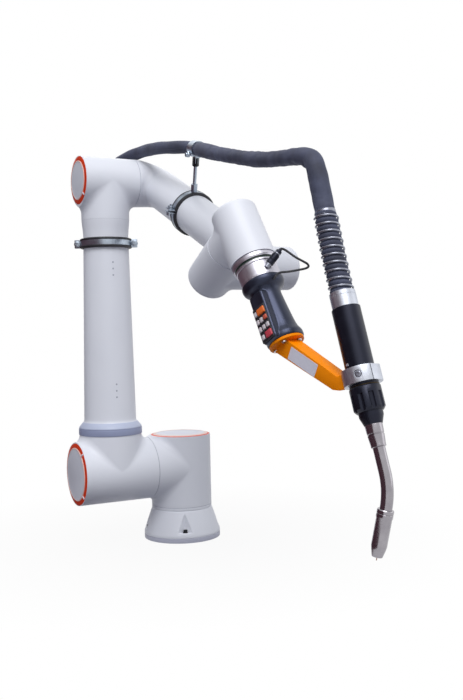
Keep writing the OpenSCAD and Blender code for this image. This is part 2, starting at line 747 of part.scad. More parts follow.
// Signal plug on the adapter and its short lead back to the handle
plug_turn = 20;
plug_z = adapter_z + 12;
module signal_plug() {
    color(black) in_tool() difference() {
        rotate([0, 0, plug_turn]) translate([0, 0, plug_z]) rotate([0, 90, 0]) {
            cylinder(r = 7.5, h = adapter_r + 4);
            translate([0, 0, adapter_r + 4]) cylinder(r = 9, h = 9);
            translate([0, 0, adapter_r + 13]) cylinder(r = 6.5, h = 7);
            translate([0, 0, adapter_r + 20]) cylinder(r1 = 5.5, r2 = 3, h = 10);
        }
        cylinder(r = adapter_r, h = handle_z);
    }
}
plug_end = adapter_r + 30.1;
lead_route = [
    [plug_end * cos(plug_turn), plug_end * sin(plug_turn), plug_z],
    [(plug_end + 6) * cos(plug_turn), (plug_end + 6) * sin(plug_turn), plug_z + 1],
    [72, 10, plug_z + 4], [73, -6, plug_z + 10], [73, -24, plug_z + 17], [71, -40, plug_z + 22], [66, -45, plug_z + 24],
    [56, -38, plug_z + 24], [45, -27, plug_z + 23], [35.2, -19.3, plug_z + 22]
];
module signal_lead() {
    color(black) in_tool() tube_along(eased(lead_route, 2), 2, [0.3, 0.2, 1], 8);
}

base_foot();
base_rim();
shoulder_housing();
shoulder_cap();
shoulder_cap_ring();
arm_root_housing();
arm_root_cap();
arm_root_cap_ring();
arm_root_ring();
arm_tube();
elbow_housing();
elbow_cap();
elbow_cap_ring();
arm_clamp();
arm_clamp_liner();
rear_standoff();
hose_connector();
hose_over_elbow();
forearm_tube();
forearm_clamp();
forearm_clamp_liner();
hose_standoff();
wrist_root_housing();
wrist_root_cap();
wrist_root_cap_ring();
hose_to_torch();
wrist_bend_housing();
wrist_bend_cap();
wrist_bend_cap_ring();
wrist_end_housing();
wrist_end_cap();
wrist_end_cap_ring();
output_ring();
output_seal();
tool_adapter();
teach_handle();
keypad();
torch_bracket();
torch_clamp();
torch_tube();
torch_sleeve();
spring_guard();
torch_nut();
swan_neck();
gas_nozzle();
signal_plug();
signal_lead();
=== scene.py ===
import math

import bpy
import numpy as np
from mathutils import Matrix, Vector, noise


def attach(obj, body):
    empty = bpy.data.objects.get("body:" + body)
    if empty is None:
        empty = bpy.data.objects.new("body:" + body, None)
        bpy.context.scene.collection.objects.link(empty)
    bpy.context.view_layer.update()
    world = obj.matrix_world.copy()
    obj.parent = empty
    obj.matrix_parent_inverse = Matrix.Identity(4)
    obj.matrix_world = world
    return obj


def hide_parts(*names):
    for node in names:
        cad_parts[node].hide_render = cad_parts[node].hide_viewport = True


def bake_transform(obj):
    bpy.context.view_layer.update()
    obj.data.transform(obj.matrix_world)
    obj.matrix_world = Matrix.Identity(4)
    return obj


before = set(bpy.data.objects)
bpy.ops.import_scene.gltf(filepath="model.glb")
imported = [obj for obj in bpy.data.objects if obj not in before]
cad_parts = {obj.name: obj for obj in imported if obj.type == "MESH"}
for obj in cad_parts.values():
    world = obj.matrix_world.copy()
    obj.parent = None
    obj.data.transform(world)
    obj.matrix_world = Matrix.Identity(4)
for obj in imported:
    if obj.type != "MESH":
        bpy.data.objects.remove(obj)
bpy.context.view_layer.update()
bpy.ops.object.select_all(action="DESELECT")

# ---- Camera
# It stands about 2.3 m in front of the arm at half its height and looks level, with a slight roll.
camera_right = Vector((0.87928, -0.47584, -0.02117))
camera_up = Vector((0.0314, 0.01357, 0.99941))
camera_back = Vector((-0.47527, -0.87943, 0.02687))
bpy.ops.object.camera_add(location=(-0.97808, -2.09164, 0.52771))
camera = bpy.context.object
camera.name = "camera"
camera.rotation_mode = "QUATERNION"
camera.rotation_quaternion = Matrix((camera_right, camera_up, camera_back)).transposed().to_quaternion()
camera.data.sensor_width = 36
camera.data.lens = 47.06
camera.data.clip_start = 0.05
camera.data.clip_end = 60
bpy.context.scene.camera = camera
bpy.context.scene.view_settings.view_transform = "Standard"


# ---- Studio
# A pale floor and backdrop. A large softbox above and in front is the main light, with weaker ones at the sides.
def linear(code):
    """A colour written as sRGB hex, in Blender's linear values."""
    parts = [int(code[i : i + 2], 16) / 255 for i in (1, 3, 5)]
    return [c / 12.92 if c <= 0.04045 else ((c + 0.055) / 1.055) ** 2.4 for c in parts] + [1]


def add(tree, kind, inputs=None, **settings):
    """A node with its settings. An input is a value, or the socket that feeds it."""
    made = tree.nodes.new(kind)
    for name, value in settings.items():
        setattr(made, name, value)
    for name, value in (inputs or {}).items():
        if isinstance(value, bpy.types.NodeSocket):
            tree.links.new(value, made.inputs[name])
        else:
            made.inputs[name].default_value = value
    return made


def maths(tree, operation, a, b=0):
    """The result of an operation on two values or sockets."""
    return add(tree, "ShaderNodeMath", {0: a, 1: b}, operation=operation).outputs[0]


def shown_white(tree):
    """1 for the rays that see the background directly, in a mirror or through glass."""
    ray = add(tree, "ShaderNodeLightPath").outputs
    return maths(
        tree, "MAXIMUM", maths(tree, "MAXIMUM", ray["Is Camera Ray"], ray["Is Glossy Ray"]), ray["Is Transmission Ray"]
    )


def mesh_piece(name, corners, edges, faces):
    """An object in the scene with this mesh."""
    mesh = bpy.data.meshes.new(name)
    mesh.from_pydata(corners, edges, faces)
    piece = bpy.data.objects.new(name, mesh)
    bpy.context.scene.collection.objects.link(piece)
    return piece


def bare_material(name):
    """A material without a shader, and its node tree."""
    material = bpy.data.materials.new(name)
    material.use_nodes = True
    material.node_tree.nodes.clear()
    return material, material.node_tree


world = bpy.data.worlds.new("studio")
bpy.context.scene.world = world
world.use_nodes = True
sky = world.node_tree
sky.nodes.clear()
room_light = add(sky, "ShaderNodeBackground", {"Color": linear("#F5F8FF"), "Strength": 0.42})
backdrop = add(sky, "ShaderNodeBackground", {"Color": linear("#FFFFFF"), "Strength": 1})
seen = add(sky, "ShaderNodeMixShader", {0: shown_white(sky), 1: room_light.outputs[0], 2: backdrop.outputs[0]})
add(sky, "ShaderNodeOutputWorld", {"Surface": seen.outputs[0]})

# Matt under the arm, where its shadow falls, and as white as the backdrop further out
floor_paint, ground = bare_material("pale_floor")
matt = add(ground, "ShaderNodeBsdfDiffuse", {"Color": linear("#7A7A82")})
lit = add(ground, "ShaderNodeEmission", {"Color": linear("#FFFFFF"), "Strength": 1})
middle = add(ground, "ShaderNodeTexCoord")
reach = add(ground, "ShaderNodeVectorMath", {0: middle.outputs["Object"]}, operation="LENGTH")
fade = add(ground, "ShaderNodeMapRange", {"Value": reach.outputs["Value"], 1: 0.15, 2: 0.75, 3: 0.945, 4: 1})
share = maths(ground, "MULTIPLY", shown_white(ground), fade.outputs[0])
covering = add(ground, "ShaderNodeMixShader", {0: share, 1: matt.outputs[0], 2: lit.outputs[0]})
add(ground, "ShaderNodeOutputMaterial", {"Surface": covering.outputs[0]})
bpy.ops.mesh.primitive_plane_add(size=40, location=(0, 0, -0.0005))
floor = bpy.context.object
floor.name = "floor"
floor.data.materials.append(floor_paint)

softboxes = (
    # place, size in metres, power in watts
    ((-1.2, -2.9, 4.3), 2.7, 156),
    ((-3.2, -0.6, 1.3), 2, 9),
    ((2.4, -1.9, 1.2), 1.8, 8),
    ((0.6, 2.6, 2.4), 2, 12),
)
aim = Vector((-0.1, -0.35, 0.5))
for number, (place, size, power) in enumerate(softboxes):
    bpy.ops.object.light_add(type="AREA", location=place)
    lamp = bpy.context.object
    lamp.name = f"softbox_{number}"
    lamp.data.size = size
    lamp.data.energy = power
    lamp.rotation_euler = (aim - Vector(place)).to_track_quat("-Z", "Y").to_euler()
# A dark mat and a curved flag round the left side, which only mirrors see: they give bright metal its dark edge
flag_cloth, cloth = bare_material("black_flag_cloth")
dark = add(cloth, "ShaderNodeEmission", {"Color": linear("#5E424C"), "Strength": 1})
clear = add(cloth, "ShaderNodeBsdfTransparent")
ray = add(cloth, "ShaderNodeLightPath")
veil = add(cloth, "ShaderNodeMixShader", {0: ray.outputs["Is Glossy Ray"], 1: clear.outputs[0], 2: dark.outputs[0]})
add(cloth, "ShaderNodeOutputMaterial", {"Surface": veil.outputs[0]})
flag_x, flag_y, mat_radius, flag_radius, flag_top = -0.1, -0.9, 0.45, 1.8, 1.7
first_degree, flag_degrees, flag_steps = 96, 114, 24
edges = []
for k in range(flag_steps + 1):
    q = math.radians(first_degree + flag_degrees * k / flag_steps)
    for radius, z in ((mat_radius, 0.001), (flag_radius, 0.001), (flag_radius, flag_top)):
        edges.append((flag_x + radius * math.cos(q), flag_y + radius * math.sin(q), z))
flag = mesh_piece("black_flag", edges, [], [(k, k + 3, k + 4, k + 1) for k in range(3 * flag_steps) if k % 3 < 2])
flag.data.materials.append(flag_cloth)


# ---- Foot
# One flared casting on a painted rim. Four M8 socket screws go down through its V-shaped pockets into
# the plate that the arm stands on.
def new_material(name):
    """A material, its node tree, its shader and the piece's own coordinates in metres."""
    material = bpy.data.materials.new(name)
    material.use_nodes = True
    tree = material.node_tree
    coordinates = add(tree, "ShaderNodeTexCoord")
    return material, tree, tree.nodes["Principled BSDF"], coordinates.outputs["Object"]


def speckle(tree, here, scale, detail):
    """A soft noise with about so many spots a metre."""
    return add(tree, "ShaderNodeTexNoise", {"Vector": here, "Scale": scale, "Detail": detail}).outputs["Fac"]


def tint(shader, factor, dark, light):
    """Takes the shader's colour from dark to light as factor rises."""
    tree = shader.id_data
    blend = add(tree, "ShaderNodeMix", {0: factor, 6: linear(dark), 7: linear(light)}, data_type="RGBA")
    tree.links.new(blend.outputs[2], shader.inputs["Base Color"])


def rub(shader, factor, low, high):
    """Takes the shader's roughness from low to high as factor rises."""
    tree = shader.id_data
    span = add(tree, "ShaderNodeMapRange", {"Value": factor, 3: low, 4: high})
    tree.links.new(span.outputs[0], shader.inputs["Roughness"])


def emboss(shader, height, strength, depth):
    """Gives the shader a relief that is so many metres deep."""
    tree = shader.id_data
    relief = add(tree, "ShaderNodeBump", {"Height": height, "Strength": strength, "Distance": depth})
    tree.links.new(relief.outputs[0], shader.inputs["Normal"])


def grained(name, dark, light, grain, rough, relief=None, finer=None, **values):
    """A material that a noise shades from dark to light. grain: its spots a metre and its detail; rough: one
    roughness, or the two that the noise takes it between; relief: its strength and depth, from the finer noise
    if there is one; values: further shader inputs, with _ for each space."""
    material, tree, shader, here = new_material(name)
    spots = speckle(tree, here, *grain)
    tint(shader, spots, dark, light)
    if isinstance(rough, tuple):
        rub(shader, spots, *rough)
    else:
        shader.inputs["Roughness"].default_value = rough
    if relief:
        emboss(shader, speckle(tree, here, *finer) if finer else spots, *relief)
    for key, value in values.items():
        shader.inputs[key.replace("_", " ")].default_value = value
    return material


def powder_coat(name, dark, light, rough, **values):
    """Polyester powder baked on metal: a satin film with a faint orange peel, 1.4 mm from bump to bump."""
    ends = (rough - 0.05, rough + 0.06)
    return grained(name, dark, light, (9, 4), ends, (0.05, 0.0004), (1000 / 1.4, 2), **values)


# White polyester powder coat on cast aluminium, satin: soft wide highlights with a cool tint
white_coat = powder_coat("white_powder_coat", "#E2E5EE", "#EAECF4", 0.48, Coat_Weight=0.08, Coat_Roughness=0.35)
# The same coat in light grey on the foot's rim
rim_coat = powder_coat("light_grey_powder_coat", "#BCBECF", "#C6C8D8", 0.42)
# Alloy steel screws, blackened and oiled: dark with a dull gleam
black_steel = grained("blackened_screw_steel", "#1C1D20", "#34363B", (700, 3), 0.42, Metallic=0.8)


def moved(x, y, z):
    """The place that lies so far along each axis, in metres."""
    return Matrix.Translation((x, y, z))


def rotated(degrees, axis):
    """The place turned by so much about an axis."""
    return Matrix.Rotation(math.radians(degrees), 4, axis)


def pick(piece):
    """Selects the piece alone and makes it the active one."""
    bpy.ops.object.select_all(action="DESELECT")
    piece.select_set(True)
    bpy.context.view_layer.objects.active = piece


def modify(piece, kind, **settings):
    """Adds a modifier and applies it."""
    pick(piece)
    modifier = piece.modifiers.new(kind.lower(), kind)
    for name, value in settings.items():
        setattr(modifier, name, value)
    bpy.ops.object.modifier_apply(modifier=modifier.name)


def round_edges(piece, width, segments=2, angle=30):
    """Rounds every edge where the faces turn by more than the angle."""
    modify(piece, "BEVEL", width=width, segments=segments, limit_method="ANGLE", angle_limit=math.radians(angle))


def carve(piece, tool, operation="DIFFERENCE"):
    """Cuts the tool out of the piece, or adds it with UNION, and takes the tool away."""
    modify(piece, "BOOLEAN", object=tool, operation=operation, solver="EXACT")
    bpy.data.objects.remove(tool)


def settle(piece, place=None):
    """Moves the piece's own place, and then place, into its mesh, so that its object sits at the origin."""
    piece.data.transform((place or Matrix()) @ piece.matrix_basis)
    piece.matrix_basis = Matrix()


def coat(piece, material, smooth):
    """Gives a finished piece its material, and smooth shading up to an angle."""
    piece.data.materials.clear()
    piece.data.materials.append(material)
    pick(piece)
    bpy.ops.object.shade_smooth_by_angle(angle=math.radians(smooth))


def dress(piece, material, body, replaced=(), smooth=35):
    """Coats a finished piece, gives it its body and hides the CAD nodes that it stands for."""
    coat(piece, material, smooth)
    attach(piece, body)
    if replaced:
        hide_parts(*replaced)


def open_edit(piece):
    """Opens the piece in edit mode with all of it selected."""
    pick(piece)
    bpy.ops.object.mode_set(mode="EDIT")
    bpy.ops.mesh.select_all(action="SELECT")


def close_edit():
    """Turns every face outwards and leaves edit mode."""
    bpy.ops.mesh.select_all(action="SELECT")
    bpy.ops.mesh.normals_make_consistent(inside=False)
    bpy.ops.object.mode_set(mode="OBJECT")


def cad_copy(name, node, bevel, segments=3):
    """A copy of a CAD node with its loose triangles merged, its flat faces made whole and its edges rounded."""
    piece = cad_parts[node].copy()
    piece.data = piece.data.copy()
    piece.name = name
    piece.parent = None
    for key in list(piece.keys()):
        del piece[key]
    bpy.context.scene.collection.objects.link(piece)
    open_edit(piece)
    bpy.ops.mesh.remove_doubles(threshold=1e-6)
    bpy.ops.mesh.customdata_custom_splitnormals_clear()
    bpy.ops.mesh.dissolve_limited(angle_limit=math.radians(0.4))
    bpy.ops.object.mode_set(mode="OBJECT")
    if bevel:
        round_edges(piece, bevel, segments)
    return piece


def join(name, pieces):
    """Joins like pieces into one mesh."""
    bpy.ops.object.select_all(action="DESELECT")
    for piece in pieces:
        piece.select_set(True)
    bpy.context.view_layer.objects.active = pieces[0]
    bpy.ops.object.join()
    pieces[0].name = name
    return pieces[0]


def hex_or_round(sides, radius, bottom, top, place, chamfer=0.0004):
    """A bar of so many sides that stands on local Z, with chamfered end edges, for nuts, bolt heads and pins."""
    bpy.ops.mesh.primitive_cylinder_add(
        vertices=sides, radius=radius, depth=top - bottom, location=(0, 0, (top + bottom) / 2)
    )
    bar = bpy.context.object
    round_edges(bar, chamfer, 2, 50)
    settle(bar, place)
    return bar


def socket_screw(radius, head, place):
    """A cap screw's head on local Z with its hexagon socket, which is inset and pushed down into the head."""
    screw = hex_or_round(32, radius, 0, head, Matrix(), 0.0006)
    bpy.ops.mesh.primitive_cylinder_add(vertices=6, radius=radius * 0.56, depth=head, location=(0, 0, head * 0.95))
    key = bpy.context.object
    carve(screw, key)
    settle(screw, place)
    return screw


def turned(name, profile, place, steps=96):
    """A turned piece: its outline, as radius and height on local Z in mm, is spun round. An outline that doesn't
    start on the axis is closed first."""
    closing = profile[:1] if profile[0][0] else []
    corners = [(radius / 1000, 0, z / 1000) for radius, z in profile + closing]
    piece = mesh_piece(name, corners, [(i, i + 1) for i in range(len(corners) - 1)], [])
    open_edit(piece)
    bpy.ops.mesh.spin(steps=steps, angle=2 * math.pi, center=(0, 0, 0), axis=(0, 0, 1))
    bpy.ops.mesh.select_all(action="SELECT")
    bpy.ops.mesh.remove_doubles(threshold=1e-6)
    close_edit()
    settle(piece, place)
    return piece


foot_outline = [
    (0, 11), (94.2, 11), (95, 11.8), (95, 16), (94.4, 18.5), (77.8, 67.2), (76.2, 71), (75.4, 73.4), (74.4, 73.8),
    (74.4, 74.8), (75, 75.2), (75, 80.8), (74.4, 81.3), (0, 81.3),
]
foot = turned("foot_casting", foot_outline, Matrix(), 128)
# The first pocket's direction from the X axis; the others follow every 90 degrees
pocket_turn = -110.2
for k in range(4):
    bpy.ops.mesh.primitive_cylinder_add(vertices=3, radius=1, depth=1, scale=(0.0427, 0.019, 0.044))
    wedge = bpy.context.object
    settle(wedge, rotated(pocket_turn + 90 * k, "Z") @ moved(0.096, 0, 0.046) @ rotated(90, "Z"))
    carve(foot, wedge)
round_edges(foot, 0.0006, 2, 38)
dress(foot, white_coat, "base", ["base_foot"], 30)
rim = cad_copy("foot_rim", "base_rim", 0.001)
dress(rim, rim_coat, "base", ["base_rim"])
foot_screws = []
for k in range(4):
    at = rotated(pocket_turn + 90 * k, "Z") @ moved(0.0845, 0, 0.024)
    foot_screws.append(hex_or_round(32, 0.006, 0, 0.001, at))
    foot_screws.append(socket_screw(0.0047, 0.0062, at @ moved(0, 0, 0.001)))
dress(join("foot_screws", foot_screws), black_steel, "base")


# ---- Shoulder
# An upright cast housing with a stub for the arm's second joint. Where the two round parts meet, the casting
# has a soft fillet, which runs out at the sides where their walls lie flush.
def to_barrel(points, barrel):
    """Distance to a round bar and the way out of it. barrel: foot point, axis, radius, far end, its edge radius."""
    origin, axis, radius, far, edge = barrel
    away = points - origin
    along = away @ axis
    radial = away - along[:, None] * axis
    reach = np.linalg.norm(radial, axis=1)
    out = radial / reach[:, None]
    distance = reach - radius
    if edge:
        side, end = reach - (radius - edge), along - (far - edge)
        corner = (side > 0) & (end > 0)
        size = np.hypot(np.maximum(side, 0), np.maximum(end, 0))
        distance = size + np.minimum(np.maximum(side, end), 0) - edge
        both = (side[:, None] * out + end[:, None] * axis) / np.maximum(size, 1e-9)[:, None]
        out = np.where(corner[:, None], both, np.where((side > end)[:, None], out, axis))
    return distance, out


def cast_tee(name, place, barrel, branch, fillet, grain, edge=0):
    """A cast T: two round bars made one, with a fillet, each end cut flat.
    barrel: axis, radius, near end, far end; branch: axis, radius, length; all along the place's own axes."""
    origin = np.array(place.translation)
    # What each bar is longer by until its end is cut
    spare = 0.012
    bars = []
    for axis, radius, low, high in (barrel, (branch[0], branch[1], 0, branch[2])):
        way = (place.to_3x3() @ Vector(axis)).normalized()
        near, far = low - (spare if low else 0), high + (0 if edge and low else spare)
        bpy.ops.mesh.primitive_cylinder_add(
            vertices=128, radius=radius, depth=far - near, location=place.translation + way * (near + far) / 2,
            rotation=way.to_track_quat("Z", "Y").to_euler(),
        )
        bars.append((bpy.context.object, np.array(way)))
    (tee, main), (other, side) = bars
    carve(tee, other, "UNION")
    settle(tee)
    modify(tee, "REMESH", mode="VOXEL", voxel_size=grain, use_smooth_shade=True)
    points = np.empty(len(tee.data.vertices) * 3)
    tee.data.vertices.foreach_get("co", points)
    points = points.reshape(-1, 3)
    # In ten rounds the skin is drawn on to the two bars' walls and the fillet between them
    for _ in range(10):
        a, out_a = to_barrel(points, (origin, main, barrel[1], barrel[3], edge))
        b, out_b = to_barrel(points, (origin, side, branch[1], branch[2], 0))
        along, across = (points - origin) @ main, (points - origin) @ side
        b = np.maximum(b, -across)
        width = fillet * (1 - np.clip((out_a * out_b).sum(1), 0, 1)) + 1e-6
        mix = np.clip(0.5 + 0.5 * (b - a) / width, 0, 1)
        gap = np.clip(width - np.abs(a - b), 0, None) / width
        distance = np.minimum(a, b) - gap * gap * width / 4
        out = mix[:, None] * out_a + (1 - mix)[:, None] * out_b
        out /= np.maximum(np.linalg.norm(out, axis=1), 1e-9)[:, None]
        ends = (along < barrel[2] - spare / 2) & (a < b)
        ends |= (not edge) & (along > barrel[3] + spare / 2)
        ends |= across > branch[2] + spare / 2
        points -= np.where(ends, 0, distance)[:, None] * out
    tee.data.vertices.foreach_set("co", points.ravel())
    tee.data.update()
    cuts = [(main, barrel[2], -1), (side, branch[2], 1)]
    if not edge:
        cuts.append((main, barrel[3], 1))
    bpy.ops.object.mode_set(mode="EDIT")
    for axis, level, sign in cuts:
        bpy.ops.mesh.select_all(action="SELECT")
        bpy.ops.mesh.bisect(plane_co=origin + axis * level, plane_no=axis * sign, use_fill=True, clear_outer=True)
    close_edit()
    tee.name = name
    return tee


# Nitrile lip seal between the housings: grey with dust, dull
seal_rubber = grained("nitrile_seal", "#A6A8B6", "#BDBFCC", (60, 5), 0.7)
# Polycarbonate cap, moulded with a fine spark finish: flat, pale grey and as dull as the coat
cap_plastic = grained("moulded_polycarbonate_cap", "#DCDEE9", "#E6E8F1", (14, 3), 0.5, (0.06, 0.0002), (1600, 1))
# The cap's lip is the same plastic in a pale pink: a painted highlight on the cap's edge, with the red ring's glow
# painted into it
lip_highlight_plastic = grained("polycarbonate_lip_painted_highlight", "#EBC6BD", "#F1D6CE", (30, 2), 0.35)
# Red-orange light ring of tinted polycarbonate: smooth and clear in colour, with a weak gleam
ring_plastic = grained("red_orange_polycarbonate_ring", "#DC3204", "#EE470E", (25, 2), 0.3, Specular_IOR_Level=0.25)


def seam_ring(name, place, radius, level, body):
    """The seal that shows as a thin line between two housings. Its radius and its level on local Z are in mm."""
    inner, outer, low, high = radius - 8, radius - 0.9, level - 0.9, level + 0.9
    ring = turned(name, [(inner, low), (outer, low), (outer, high), (inner, high)], place)
    dress(ring, seal_rubber, body)


def block(name, size, place, width=0, segments=2):
    """A block of this size at the place, with its edges rounded by width."""
    bpy.ops.mesh.primitive_cube_add(size=1, scale=size)
    piece = bpy.context.object
    piece.name = name
    if width:
        round_edges(piece, width, segments)
    settle(piece, place)
    return piece


def cap_and_ring(stem, place, body, level=0, lip=0, wide=2, clip_reach=0, clips=()):
    """A housing's cap, its coloured ring, a moulded lip round the cap, coloured as a painted highlight, and the small
    white clips on the ring.
    In mm: the rim's level on local Z, the lip's radius and width, the clips' distance from the middle."""
    cover = cad_copy(stem + "_cover", stem + "_cap", 0)
    dress(cover, cap_plastic, body, [stem + "_cap"])
    ring = cad_copy(stem + "_light_ring", stem + "_cap_ring", 0.0004, 2)
    dress(ring, ring_plastic, body, [stem + "_cap_ring"])
    if lip:
        inner, edge, foot, top = lip - 2, lip - 0.8, level - 2.6, level + 1.4
        outline = [(inner, foot), (inner, top + 0.3), (edge, top + 0.5)]
        outline += [(edge + wide - 0.6, top - 0.2 * wide), (edge + wide, foot)]
        # The lip's pale pink is a painted highlight, with the ring's glow painted in
        dress(turned(stem + "_cap_lip", outline, place), lip_highlight_plastic, body)
    made = []
    # Each clip slopes outwards a little
    for angle in clips:
        at = place @ rotated(angle, "Z") @ moved(clip_reach / 1000, 0, level / 1000) @ rotated(11, "Y")
        made.append(block("clip", (0.009, 0.0034, 0.0026), at, 0.0006))
    if made:
        dress(join(stem + "_cap_clips", made), white_coat, body)


# Heights of the second joint and the elbow, and how far to the side the arm stands
shoulder_height, elbow_height, arm_side = 0.18, 0.88, -0.186
# What each casting is shorter by at a seam, for the seal
cut_back = 0.0005
fillet_big = 0.024
upright = Matrix()
left_axis = rotated(-90, "Y")
shoulder_place = moved(0, 0, shoulder_height)
shoulder = cast_tee(
    "shoulder_casting", shoulder_place, ((0, 0, 1), 0.075, -0.0981 + cut_back, 0.0772),
    ((-1, 0, 0), 0.0744, 0.0906 - cut_back), fillet_big, 0.0022,
)
dress(shoulder, white_coat, "shoulder", ["shoulder_housing"], 40)
cap_and_ring("shoulder", upright, "shoulder", 258.7, 63, 6.5)
seam_ring("base_seal", upright, 75, 81.9, "base")
seam_ring("shoulder_seal", shoulder_place @ left_axis, 74.6, 91.2, "shoulder")

# ---- Upper arm
# A cast T on the second joint, a blue-grey painted ring, a long tapered aluminium tube with a chamfered
# collar, and a second cast T at the elbow. The tube and both castings have the white coat.
arm_root = cast_tee(
    "arm_root_casting", moved(arm_side, 0, shoulder_height), ((-1, 0, 0), 0.075, -0.0946 + cut_back, 0.0882),
    ((0, 0, 1), 0.0744, 0.092), fillet_big, 0.0022,
)
dress(arm_root, white_coat, "upper_arm", ["arm_root_housing"], 40)
cap_and_ring("arm_root", shoulder_place @ left_axis, "upper_arm", 275.7, 63, 2, 68.5, (225, 318))
# Blue-grey powder coat on the ring at the tube's foot
blue_coat = powder_coat("blue_grey_powder_coat", "#8E96B6", "#9AA2C0", 0.42)
arm_ring = cad_copy("arm_foot_ring", "arm_root_ring", 0.001)
dress(arm_ring, blue_coat, "upper_arm", ["arm_root_ring"])
# The collar's coat is a light blue grey
collar_coat = powder_coat("light_blue_powder_coat", "#B6BED6", "#BEC6DC", 0.42)
arm_foot = moved(arm_side, 0, 0)
collar_outline = [
    (30, 287.2), (74, 287.2), (75, 288.2), (75, 289.6), (74.2, 291.2), (66, 301), (64.8, 302), (30, 302),
]
collar = turned("arm_collar_chamfer", collar_outline, arm_foot, 128)
dress(collar, collar_coat, "upper_arm", (), 30)


def tube_radius(z):
    """The tapered tube's radius at a height, both in mm."""
    return 62.3 - 0.0196 * (z - 312.4)


tube_outline = [(30, 301.6), (64.6, 301.8), (63, 304.8), (62.5, 308.5)]
for i in range(25):
    z = 315 + 425 * i / 24
    tube_outline.append((tube_radius(z), z))
# It flares again below the elbow
tube_outline += [
    (53.9, 746), (54.1, 752), (54.5, 758), (55, 764), (55.6, 770), (56.3, 776), (56.8, 781), (57.1, 785.8),
    (30, 785.8),
]
arm_tube = turned("arm_tube_casting", tube_outline, arm_foot, 128)
dress(arm_tube, white_coat, "upper_arm", ["arm_tube"], 25)
# Three small grey plugs stand in a row on the tube's front, near each end
plugs = []
for middle in (668, 379):
    for k in (-1, 0, 1):
        z = middle + 15.2 * k
        at = arm_foot @ rotated(-94.8, "Z") @ moved(tube_radius(z) / 1000, 0, z / 1000) @ rotated(90, "Y")
        plugs.append(hex_or_round(20, 0.0021, -0.003, 0.0006, at, 0.0003))
dress(join("arm_tube_plugs", plugs), seal_rubber, "upper_arm")
elbow = cast_tee(
    "elbow_casting", moved(arm_side, 0, elbow_height), ((-1, 0, 0), 0.0575, -0.0706 + cut_back, 0.0652),
    ((0, 0, -1), 0.0573, 0.0939), 0.026, 0.0018,
)
dress(elbow, white_coat, "upper_arm", ["elbow_housing"], 40)
elbow_axis = moved(0, 0, elbow_height) @ left_axis
cap_and_ring("elbow", elbow_axis, "upper_arm", 252.7, 45.5, 2, 51, (225,))
seam_ring("elbow_seal", elbow_axis, 57.5, 115.2, "upper_arm")
seam_ring("arm_tube_joint", arm_foot, 57.7, 786, "upper_arm")


# ---- Forearm
# One casting bends from the elbow's axis into a slightly tapered tube, and the first wrist housing is
# screwed to its end. All of it has the white coat.
def swept(name, path, radii, sides):
    """A closed tube along a path of points, with a radius at each, and a UV map: turns round and metres along."""
    path = [Vector(p) for p in path]
    count = len(path)
    tangents = [(path[min(i + 1, count - 1)] - path[max(i - 1, 0)]).normalized() for i in range(count)]
    side = tangents[0].orthogonal().normalized()
    verts, lengths, run = [], [], 0
    for i in range(count):
        if i:
            side = (tangents[i - 1].rotation_difference(tangents[i]) @ side).normalized()
            run += (path[i] - path[i - 1]).length
        lengths.append(run)
        across = tangents[i].cross(side)
        for k in range(sides):
            q = 2 * math.pi * k / sides
            verts.append(path[i] + radii[i] * (math.cos(q) * side + math.sin(q) * across))
    faces, maps = [], []
    for i in range(count - 1):
        for k in range(sides):
            here, there = i * sides, (i + 1) * sides
            faces.append((here + k, here + (k + 1) % sides, there + (k + 1) % sides, there + k))
            left, right, low, high = k / sides, (k + 1) / sides, lengths[i], lengths[i + 1]
            maps.append(((left, low), (right, low), (right, high), (left, high)))
    faces += [tuple(reversed(range(sides))), tuple((count - 1) * sides + k for k in range(sides))]
    maps += [[(0, 0)] * sides, [(0, lengths[-1])] * sides]
    piece = mesh_piece(name, [tuple(v) for v in verts], [], faces)
    layer = piece.data.uv_layers.new(name="wrap")
    layer.data.foreach_set("uv", [x for corner in maps for uv in corner for x in uv])
    return piece


forearm_lean = 114.3
forearm_place = moved(-0.054, 0, elbow_height) @ rotated(forearm_lean, "X")
elbow_radius, bend_radius, tube_end_r, taper, tube_length = 0.0575, 0.059, 0.046, 0.0025, 0.512
forearm_path, forearm_radii = [(-0.0605, 0, 0), (-0.0598, 0, 0)], [elbow_radius, elbow_radius]
for i in range(33):
    q = math.pi / 2 * i / 32
    forearm_path.append((bend_radius * (math.sin(q) - 1), 0, bend_radius * (1 - math.cos(q))))
    forearm_radii.append(tube_end_r + (elbow_radius - tube_end_r) * (1 + math.cos(2 * q)) / 2)
for i in range(1, 25):
    forearm_path.append((0, 0, bend_radius + (tube_length - bend_radius) * i / 24))
    forearm_radii.append(tube_end_r - taper * i / 24)
forearm = swept("forearm_casting", [forearm_place @ Vector(p) for p in forearm_path], forearm_radii, 96)
dress(forearm, white_coat, "forearm", ["forearm_tube"], 40)
forearm_length = 0.586
wrist_place = forearm_place @ moved(0, 0, forearm_length)


def wrist_housing(stem, place, barrel_axis, near, far, branch_axis, length, body):
    """A wrist casting with its cap and ring. Its closed end has a rounded rim, and a recess for the cap."""
    radius, rim_edge, fillet = 0.043, 0.008, 0.02
    tee = cast_tee(
        stem + "_casting", place, (barrel_axis, radius, near, far), (branch_axis, 0.0424, length), fillet, 0.0016,
        rim_edge,
    )
    way = (place.to_3x3() @ Vector(barrel_axis)).normalized()
    bpy.ops.mesh.primitive_cylinder_add(
        vertices=96, radius=radius - rim_edge, depth=0.0116, location=place.translation + way * far,
        rotation=way.to_track_quat("Z", "Y").to_euler(),
    )
    carve(tee, bpy.context.object)
    dress(tee, white_coat, body, [stem + "_housing"], 40)
    cap_and_ring(stem, place, body)


wrist_housing("wrist_root", wrist_place, (1, 0, 0), -0.0536 + cut_back, 0.054, (0, 0, -1), 0.074, "forearm")
seam_ring("wrist_seal_1", wrist_place @ left_axis, 42.8, 53.8, "forearm")

